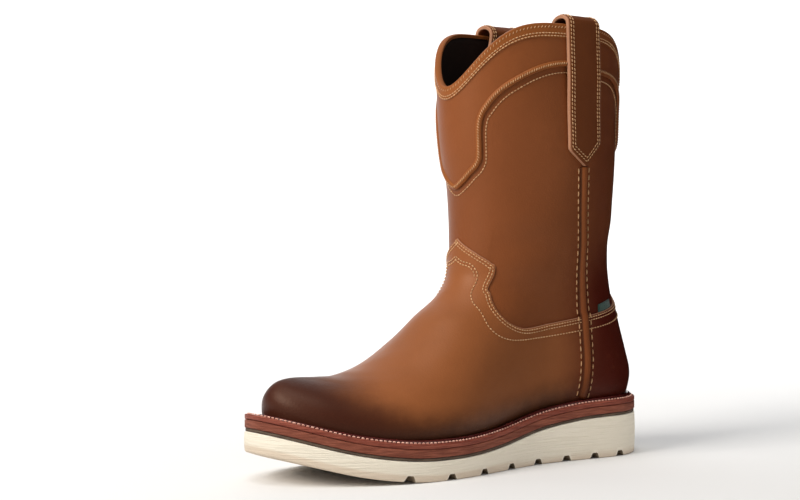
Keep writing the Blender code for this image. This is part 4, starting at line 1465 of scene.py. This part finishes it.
strap = {
    "width": 0.0295,
    "thickness": 0.003,
    "drop": 0.0937,
    "point": 0.0125,
    "inside": 0.045,
    "place": 0.535,
    "loopRise": 0.0045,
    "loopSpread": 0.009,
    "loopSwell": 0.12,
    "margin": 0.008,
    "ramp": 0.08,
    "across": 25,
    "pointRows": 12,
    "outerRows": 60,
    "innerRows": 24,
    "edgeRound": 0.0005,
    "layerGroove": 0.00022,
    "lip": 0.12,  # half height of the groove between the two layers, of the thickness
    "shadeLeft": 0.3,  # how much of the heel's shade the straps take
}


def belowCollar(drop):
    ups = np.linspace(0, 1, 500)
    heights = onUpper(ups, strap["place"], 0)[:, 2]
    return float(np.interp(heights[-1] - drop, heights, ups))


def turnStep(up, turn, distance):
    span = np.linalg.norm(onUpper(up, turn + 0.005, 0) - onUpper(up, turn - 0.005, 0), axis=-1)
    return distance * 0.01 / span


def strapLift(up):
    edge = float(collarFoot(strap["place"])) - strap["margin"]
    return last["overlay"] * (fade(edge - strap["ramp"], edge, up) - 0.5)


def strapRow(up, side, half, lift):
    spread = np.linspace(-1, 1, strap["across"])
    halfTurn = turnStep(up, strap["place"], half)
    return onUpper(up, side * (strap["place"] + halfTurn * spread), lift)


def strapMiddle(side):
    # Rows across the strap's middle sheet, and each row's half width.
    end = belowCollar(strap["drop"])
    point = belowCollar(strap["drop"] - strap["point"]) - end
    full, thick = strap["width"] / 2, strap["thickness"]
    outside = last["gap"] + thick / 2
    shares = np.linspace(0, 1, strap["pointRows"])
    halves = list(full * (0.05 + 0.95 * shares)) + [full] * (strap["outerRows"] - 1)
    ups = list(end + shares * point) + list(np.linspace(end + point, 1, strap["outerRows"])[1:])
    rows = [strapRow(up, side, half, strapLift(up) + outside) for up, half in zip(ups, halves)]
    inside = innerLift - last["gap"] - thick / 2
    outer = strapRow(1, side, full, proud + outside)
    inner = strapRow(1, side, full, inside - strap["loopSpread"])
    centre, span = (outer + inner) / 2, (outer - inner) / 2
    rise = (strap["loopRise"] + thick / 2) * np.array([0, 0, 1])
    for degrees in range(8, 180, 8):
        angle = math.radians(degrees)
        swell = 1 + strap["loopSwell"] * math.sin(angle)
        rows.append(centre + span * swell * math.cos(angle) + rise * math.sin(angle))
    leg = 1 - belowCollar(strap["inside"])
    for share in np.linspace(0, 1, strap["innerRows"]):
        lift = inside - strap["loopSpread"] * (1 - fade(0, 0.8, share))
        rows.append(strapRow(1 - share * leg, side, full, lift))
    return np.array(rows), np.array(halves + [full] * (len(rows) - len(halves)))


def smoothRows(rows, passes):
    for _ in range(passes):
        inner = (rows[:-2] + 2 * rows[1:-1] + rows[2:]) / 4
        rows = np.concatenate([rows[:1], inner, rows[-1:]])
    return rows


strapSurfaces = {}  # by side: rows of the middle sheet, their normals and half widths


def strapSection(row, normal, wide):
    # One section of the strap, and how much of it is bare fibre: both faces, and between them
    # an edge with a groove where the two layers meet.
    half, soft = strap["thickness"] / 2, min(strap["edgeRound"], wide)
    toEdge = (1 - abs(np.linspace(-1, 1, strap["across"]))) * wide
    drop = np.clip(1 - toEdge / soft, 0, 1) ** 2 * strap["edgeRound"]
    high = normal * (half - drop)[:, None]
    aside = unit(row[-1] - row[-2]) * strap["layerGroove"]
    lip = normal * strap["lip"] * strap["thickness"]
    rightSide = [row[-1] + lip[-1], row[-1] - aside, row[-1] - lip[-1]]
    leftSide = [row[0] - lip[0], row[0] + aside, row[0] + lip[0]]
    bare = np.clip(1 - toEdge / 0.0005, 0, 1)
    edge = [1, 0.75, 1]
    section = np.concatenate([row + high, rightSide, (row - high)[::-1], leftSide])
    return section, np.concatenate([bare, edge, bare[::-1], edge])


def makeStrap(name, side, cadNode):
    rows, halves = strapMiddle(side)
    rows = smoothRows(rows, 2)
    normals = unit(np.cross(np.gradient(rows, axis=1), np.gradient(rows, axis=0))) * side
    strapSurfaces[side] = (rows, normals, halves)
    made = [strapSection(*given) for given in zip(rows, normals, halves)]
    sections = [section for section, _ in made]
    marks = burnishAndShadeMarks(sections)
    marks["heelShade"] = marks["heelShade"] * strap["shadeLeft"]
    marks["rawEdge"] = np.concatenate([bare for _, bare in made])
    standFor(addTube(name, sections, [strapLeather], marks), cadNode)


makeStrap("pullStrapOuter", 1, "pull_strap_outer")
makeStrap("pullStrapInner", -1, "pull_strap_inner")
print("pull straps made")


# Side seams: a rolled strip from the strap's point down to the welt

seam = {
    "width": 0.0058,
    "height": 0.0024,
    "footHeight": 0.0035,  # where it starts over the welt
    "top": 0.76,  # share of the shaft's height that it would reach without the strap
    "clearance": 0.001,
    "threads": 0.0051,  # from its middle to each row of stitches
    # groove: strength of the painted shadow in the groove on both sides of the roll
    "groove": 0.75,  # darkness of the groove on both its sides
}
# share of the half width, share of the height, from one foot to the middle of the roll
seamRoll = ((-1.25, 0.0), (-1.2, 0.16), (-0.98, 0.26), (-0.8, 0.55), (-0.55, 0.86), (-0.25, 0.98), (0, 1.0))
# share of the shaft's height, share of its half depth in front of its middle
sideSeamRows = (
    (0.000, -0.310),
    (0.060, -0.345),
    (0.120, -0.362),
    (0.200, -0.345),
    (0.460, -0.250),
    (0.640, -0.175),
    (0.760, -0.140),
)


def onOuterSide(place, height):
    # Up and turn of the points of the outer side that a side view shows there.
    up, turn = np.full(len(place), 0.5), np.full(len(place), 0.55)
    goal, step = np.stack([place, height], 1), 0.004
    for _ in range(30):
        here = onUpper(up, turn, 0)[:, 1:]
        a = ((onUpper(up + step, turn, 0)[:, 1:] - here) / step).T
        b = ((onUpper(up, turn + step, 0)[:, 1:] - here) / step).T
        miss = (goal - here).T
        area = a[0] * b[1] - a[1] * b[0]
        up = np.clip(up + np.clip((miss[0] * b[1] - miss[1] * b[0]) / area, -0.1, 0.1), 0.002, 0.99)
        turn = np.clip(turn + np.clip((a[0] * miss[1] - a[1] * miss[0]) / area, -0.1, 0.1), 0.1, 0.9)
    return up, turn


def seamLine():
    shares = np.linspace(seam["footHeight"] / last["shaftHeight"], seam["top"], 90)
    along = last["shaftMiddle"] * outsoleLength + through(sideSeamRows)(shares) * last["shaftDepth"] / 2
    ups, turns = onOuterSide(outsoleLength / 2 - along, soleTop(along) + shares * last["shaftHeight"])
    stop = belowCollar(strap["drop"] + seam["clearance"])
    keep = ups < stop
    return np.append(ups[keep], stop), np.append(turns[keep], np.interp(stop, ups, turns))


def seamLift(up, turn):
    edge = vampTop(turn)
    return last["overlay"] * (0.5 - fade(edge + 0.001, edge + 0.022, up))


def makeSeam(name, side, cadNode):
    ups, turns = seamLine()
    base = onUpper(ups, side * turns, seamLift(ups, turns))
    normals = unit(readGrid(formNormals, ups, side * turns))
    across = acrossOf(base, normals, False)
    profile = list(seamRoll) + [(-x, z) for x, z in reversed(seamRoll[:-1])] + [(0.6, -0.25), (-0.6, -0.25)]
    sections = []
    for point, normal, aside in zip(base, normals, across):
        section = [point + aside * x * seam["width"] / 2 + normal * z * seam["height"] for x, z in profile]
        sections.append(np.array(section)[::side])
    marks = burnishAndShadeMarks(sections)
    marks["heelShade"] = marks["heelShade"] * 0.35
    # Painted shadow: the roll's outer feet take a dark tone in the footShade mark, in place of the shade in
    # the grooves beside it.
    grooves = np.tile([float(abs(x) > 0.9) for x, _ in profile], len(sections))
    marks["footShade"] = np.maximum(marks["footShade"] * 0.8, seam["groove"] * grooves)
    standFor(addTube(name, sections, [seamLeather], marks), cadNode)


makeSeam("sideSeamOuter", 1, "side_seam_outer")
makeSeam("sideSeamInner", -1, "side_seam_inner")
print("side seams made")


# The small bare cloth tab over the counter's edge on the outer side

label = {"width": 0.0165, "height": 0.0050, "thickness": 0.0007, "place": 0.765, "rise": 0.004, "columns": 22}


def makeLabel():
    foot = float(vampTop(label["place"]))
    half = float(turnStep(foot, label["place"], label["width"] / 2))
    high = label["height"] / float(metresPerUp(foot + 0.02, label["place"]))
    spread = np.linspace(-1, 1, label["columns"])
    turns, lift = label["place"] + half * spread, -proud + last["gap"]
    sections = []
    for share in np.linspace(-0.12, 1, 14):
        up = vampTop(turns) + label["rise"] + share * high
        edge = (1 - abs(2 * max(share, 0) - 1) ** 8) * (1 - abs(spread) ** 10)
        thick = label["thickness"] * (0.45 + 0.55 * edge)
        sections.append(np.concatenate([onUpper(up, turns, lift + thick), onUpper(up, turns, lift)[::-1]]))
    standFor(addTube("clothLabel", sections, [greenCloth]), "label")


makeLabel()


# Stitching: where each row runs, and its thread

threads = {
    "vampEdge": {"pitch": 0.0023, "length": 0.0018, "radius": 0.00038, "rise": 0.1},
    "vampInner": {"pitch": 0.0025, "length": 0.0018, "radius": 0.00043, "rise": 0.15},
    "piping": {"pitch": 0.0018, "length": 0.0020, "radius": 0.00030, "slant": 52},
    "collarLow": {"pitch": 0.0024, "length": 0.0019, "radius": 0.00042},
    "bindingRow": {"pitch": 0.0024, "length": 0.0019, "radius": 0.00040},
    "bindingEdge": {"pitch": 0.0026, "length": 0.0018, "radius": 0.00024, "slant": 50},
    "seamSide": {"pitch": 0.0051, "length": 0.0036, "radius": 0.00044},
    "strapRow": {"pitch": 0.0026, "length": 0.0020, "radius": 0.00036, "slant": 12},
    "welt": {"pitch": 0.0029, "length": 0.0021, "radius": 0.00052, "rise": 0.6},
}


def shifted(ups, turns, distance):
    # Moves a line on the form sideways by a distance, to its left as seen from outside.
    points = onUpper(ups, turns, 0)
    normals = unit(readGrid(formNormals, ups, turns))
    aside = acrossOf(points, normals, False) * distance
    step = 0.002
    a = (onUpper(ups + step, turns, 0) - onUpper(ups - step, turns, 0)) / (2 * step)
    b = (onUpper(ups, turns + step, 0) - onUpper(ups, turns - step, 0)) / (2 * step)
    aa, ab, bb = (a * a).sum(-1), (a * b).sum(-1), (b * b).sum(-1)
    ra, rb = (a * aside).sum(-1), (b * aside).sum(-1)
    area = aa * bb - ab**2
    return ups + (ra * bb - rb * ab) / area, turns + (rb * aa - ra * ab) / area


def sewOn(sewing, ups, turns, lift, thread, closed=False):
    sewing.row(onUpper(ups, turns, lift), unit(readGrid(formNormals, ups, turns)), thread, closed)


# The row inside the vamp's edge: turn, up
innerRow = (
    (0.000, 0.633),
    (0.041, 0.622),
    (0.112, 0.603),
    (0.150, 0.572),
    (0.176, 0.537),
    (0.225, 0.497),
    (0.291, 0.448),
    (0.356, 0.382),
    (0.454, 0.310),
    (0.549, 0.279),
    (0.652, 0.266),
    (0.825, 0.276),
    (0.910, 0.292),
    (1.000, 0.362),
)


def sewVamp():
    sewing = Threads()
    edgeTurns = np.linspace(-0.9995, 0.9995, 1600)
    for distance in (-0.0014, -0.0034):
        ups, turns = shifted(vampTop(edgeTurns), edgeTurns, distance)
        sewOn(sewing, ups, turns, proud, threads["vampEdge"])
    inner = through(innerRow)
    sewOn(sewing, inner(abs(edgeTurns)), edgeTurns, proud + 0.00012, threads["vampInner"])
    peak = np.linspace(-0.15, 0.15, 300)
    ups, turns = shifted(inner(abs(peak)), peak, -0.0021)
    sewOn(sewing, ups, turns, proud, threads["vampInner"])
    sewing.build("vampStitches", paleThread)


def sewCollar():
    sewing = Threads()
    top = proud + collarParts["pipingHeight"]
    sewOn(sewing, pipingUps, pipingTurns, top, threads["piping"], True)
    ups, turns = shifted(collarFoot(pipingTurns), pipingTurns, -0.0046)
    sewOn(sewing, ups, turns, -proud, threads["collarLow"], True)
    around = evenTurns(lambda t: t * 0 + 0.97, 0.0015)
    scale = metresPerUp(1.0, around)
    lift = proud + collarParts["bindingLift"] * 1.15
    for below in (0.0062, 0.0079):
        sewOn(sewing, 1 - below / scale, around, lift, threads["bindingRow"], True)
    sewOn(sewing, 1 - 0.0022 / scale, around, lift, threads["bindingEdge"], True)
    sewing.build("collarStitches", paleThread)


def sewSeams():
    sewing = Threads()
    ups, turns = seamLine()
    for side in (1, -1):
        for distance in (-seam["threads"], seam["threads"]):
            rowUps, rowTurns = shifted(ups, side * turns, distance)
            sewOn(sewing, rowUps, rowTurns, seamLift(rowUps, abs(rowTurns)), threads["seamSide"])
    sewing.build("seamStitches", paleThread)


def strapPath(side, inset):
    # A line at a distance inside the strap's outline, from inside the boot round the point and back.
    rows, normals, halves = strapSurfaces[side]
    middle = rows[:, rows.shape[1] // 2]
    run = np.concatenate([[0], np.cumsum(np.linalg.norm(np.diff(middle, axis=0), axis=1))])
    full = strap["width"] / 2
    slope = math.atan2(full, strap["point"])
    tip = inset / math.sin(slope)
    corner = strap["point"] + inset * math.tan(slope / 2)
    wide = full - inset
    stop = run[-1] - 0.004
    up = np.linspace(stop, corner, 300)
    down = np.linspace(corner, tip, 30)[1:]
    s = np.concatenate([up, down, down[::-1][1:], up[::-1]])
    share = (s - tip) / (corner - tip)
    x = wide * np.minimum(share, 1)
    first = len(up) + len(down)
    x[first:] *= -1
    row = np.interp(s, run, np.arange(len(run)))
    half = np.interp(row, np.arange(len(halves)), halves)
    column = (np.clip(x / half, -1, 1) + 1) / 2 * (rows.shape[1] - 1)
    r0, c0 = np.minimum(row.astype(int), len(rows) - 2), np.minimum(column.astype(int), rows.shape[1] - 2)
    r, c = (row - r0)[:, None], (column - c0)[:, None]

    def read(grid):
        low = grid[r0, c0] * (1 - c) + grid[r0, c0 + 1] * c
        high = grid[r0 + 1, c0] * (1 - c) + grid[r0 + 1, c0 + 1] * c
        return low * (1 - r) + high * r

    normal = unit(read(normals))
    return read(rows) + normal * strap["thickness"] / 2, normal


def sewStraps():
    sewing = Threads()
    for side in (1, -1):
        for inset in (0.0022, 0.0042):
            points, normals = strapPath(side, inset)
            sewing.row(points, normals, threads["strapRow"])
    sewing.build("strapStitches", paleThread)


def sewWelt():
    sewing = Threads()
    turns = aroundTurns(900)
    points = rimRing(turns, -0.0021, lambda at: soleTop(at) + 0.0001)
    normals = np.tile([0.0, 0.0, 1.0], (len(points), 1))
    sewing.row(points, normals, threads["welt"], True)
    sewing.build("weltStitches", weltThread)


sewVamp()
sewCollar()
sewSeams()
sewStraps()
sewWelt()
print("stitching done")


# Stage, light and camera

studio = {
    "floorSize": 6.0,
    "backdropRadius": 1.2,
    "backdropHeight": 3.0,
    "cameraTurn": 52.727,  # degrees round from the toe to the outer side
    "cameraDistance": 1.13965,
    "cameraHeight": 0.1666,
    "cameraPitch": -0.02,
    "lens": 76.5,
    "shiftX": -0.0668,
    "world": 0.3,
    "cardTurn": 176,
    "cardNear": 0.2,
    "cardFar": 1.0,
    "cardLift": 0.004,
    "cardHeight": 1.7,
    "cardWidth": 2.1,
}


def makeStage():
    turn = math.radians(studio["cameraTurn"])
    away = Vector((-math.sin(turn), math.cos(turn), 0))
    aside = Vector((math.cos(turn), math.sin(turn), 0))
    half, radius = studio["floorSize"], studio["backdropRadius"]
    profile = [(-half, 0.0), (0.0, 0.0), (1.6, 0.0)]
    for degrees in range(6, 91, 6):
        angle = math.radians(degrees)
        profile.append((1.6 + radius * math.sin(angle), radius * (1 - math.cos(angle))))
    profile.append((1.6 + radius, studio["backdropHeight"]))
    points, faces = [], []
    for run, height in profile:
        for sideways in (-half, half):
            points.append(away * run + aside * sideways + Vector((0, 0, height)))
    for i in range(len(profile) - 1):
        faces.append((2 * i, 2 * i + 1, 2 * i + 3, 2 * i + 2))
    mesh = bpy.data.meshes.new("studioSweep")
    mesh.from_pydata(points, [], faces)
    mesh.polygons.foreach_set("use_smooth", [True] * len(mesh.polygons))
    made, tree, shader, position = startMaterial("paleSweep", {"Roughness": 0.85, "Specular IOR Level": 0.2})
    shader.inputs["Base Color"].default_value = (0.86, 0.86, 0.86, 1)
    mesh.materials.append(made)
    floor = bpy.data.objects.new("studioSweep", mesh)
    scene.collection.objects.link(floor)


def makeBlackCard():
    # A folded card behind the heel that only reflections see: it keeps the heel's side from
    # turning grey.
    turn = math.radians(studio["cardTurn"])
    away = Vector((math.sin(turn), -math.cos(turn), 0))
    aside = Vector((math.cos(turn), math.sin(turn), 0)) * studio["cardWidth"] / 2
    near, far = away * studio["cardNear"], away * studio["cardFar"]
    low, high = Vector((0, 0, studio["cardLift"])), Vector((0, 0, studio["cardHeight"]))
    fold = ((near, low), (far, low), (far, high))
    mesh = bpy.data.meshes.new("blackCard")
    corners = [place + level + edge for place, level in fold for edge in (-aside, aside)]
    mesh.from_pydata(corners, [], [(0, 1, 3, 2), (2, 3, 5, 4)])
    made, tree, shader, position = startMaterial("blackCard", {"Roughness": 1.0, "Specular IOR Level": 0.0})
    shader.inputs["Base Color"].default_value = (0, 0, 0, 1)
    mesh.materials.append(made)
    card = bpy.data.objects.new("blackCard", mesh)
    card.visible_camera = card.visible_diffuse = card.visible_shadow = False
    card.visible_transmission = card.visible_volume_scatter = False
    scene.collection.objects.link(card)


def addLight(name, turn, height, distance, size, power, colour, aim=(0, 0, 0.12)):
    # A soft panel at a turn in degrees round from the toe to the outer side, aimed at the boot.
    lamp = bpy.data.lights.new(name, "AREA")
    lamp.shape = "RECTANGLE"
    lamp.size, lamp.size_y = size
    lamp.energy = power
    lamp.color = colour
    thing = bpy.data.objects.new(name, lamp)
    angle = math.radians(turn)
    thing.location = (distance * math.sin(angle), -distance * math.cos(angle), height)
    aimed = Vector(aim) - Vector(thing.location)
    thing.rotation_euler = aimed.to_track_quat("-Z", "Y").to_euler()
    scene.collection.objects.link(thing)
    return thing


def lightOnly(panel, names):
    # Holds a panel's light to some of the pieces.
    lit = bpy.data.collections.new(panel.name + "Pieces")
    for name in names:
        lit.objects.link(pieces[name])
    panel.light_linking.receiver_collection = lit


def makeCamera():
    turn, pitch = math.radians(studio["cameraTurn"]), studio["cameraPitch"]
    camera = bpy.data.cameras.new("photoCamera")
    camera.lens = studio["lens"]
    camera.sensor_width = 36
    camera.shift_x = studio["shiftX"]
    camera.clip_start, camera.clip_end = 0.05, 50
    thing = bpy.data.objects.new("photoCamera", camera)
    away = studio["cameraDistance"]
    thing.location = (away * math.sin(turn) + 0.0002, -away * math.cos(turn), studio["cameraHeight"])
    ahead = Vector((-math.sin(turn) * math.cos(pitch), math.cos(turn) * math.cos(pitch), math.sin(pitch)))
    thing.rotation_euler = ahead.to_track_quat("-Z", "Y").to_euler()
    scene.collection.objects.link(thing)
    scene.camera = thing


makeStage()
makeBlackCard()
addLight("keyPanel", 2, 1.15, 1.6, (0.8, 1.1), 31, (1.0, 0.96, 0.90))
addLight("topPanel", 20, 1.9, 0.7, (1.0, 0.8), 10, (1.0, 0.98, 0.95))
heelPanel = addLight("heelPanel", 108, 0.55, 1.5, (0.9, 0.6), 5.5, (1.0, 0.97, 0.94), (0, 0.05, 0.05))
lightOnly(heelPanel, ["wedgeOutsole", "soleFiller", "midsole", "weltWithBead", "weltStitches"])
addLight("backdropPanel", 232.727, 1.9, 0.9, (3.0, 0.6), 60, (1.0, 1.0, 1.0), (-2.4, 1.8, 0.6))
world = bpy.data.worlds.new("studioWorld")
world.use_nodes = True
world.node_tree.nodes["Background"].inputs["Color"].default_value = (1, 1, 1, 1)
world.node_tree.nodes["Background"].inputs["Strength"].default_value = studio["world"]
scene.world = world
makeCamera()
print("stage, light and camera set")
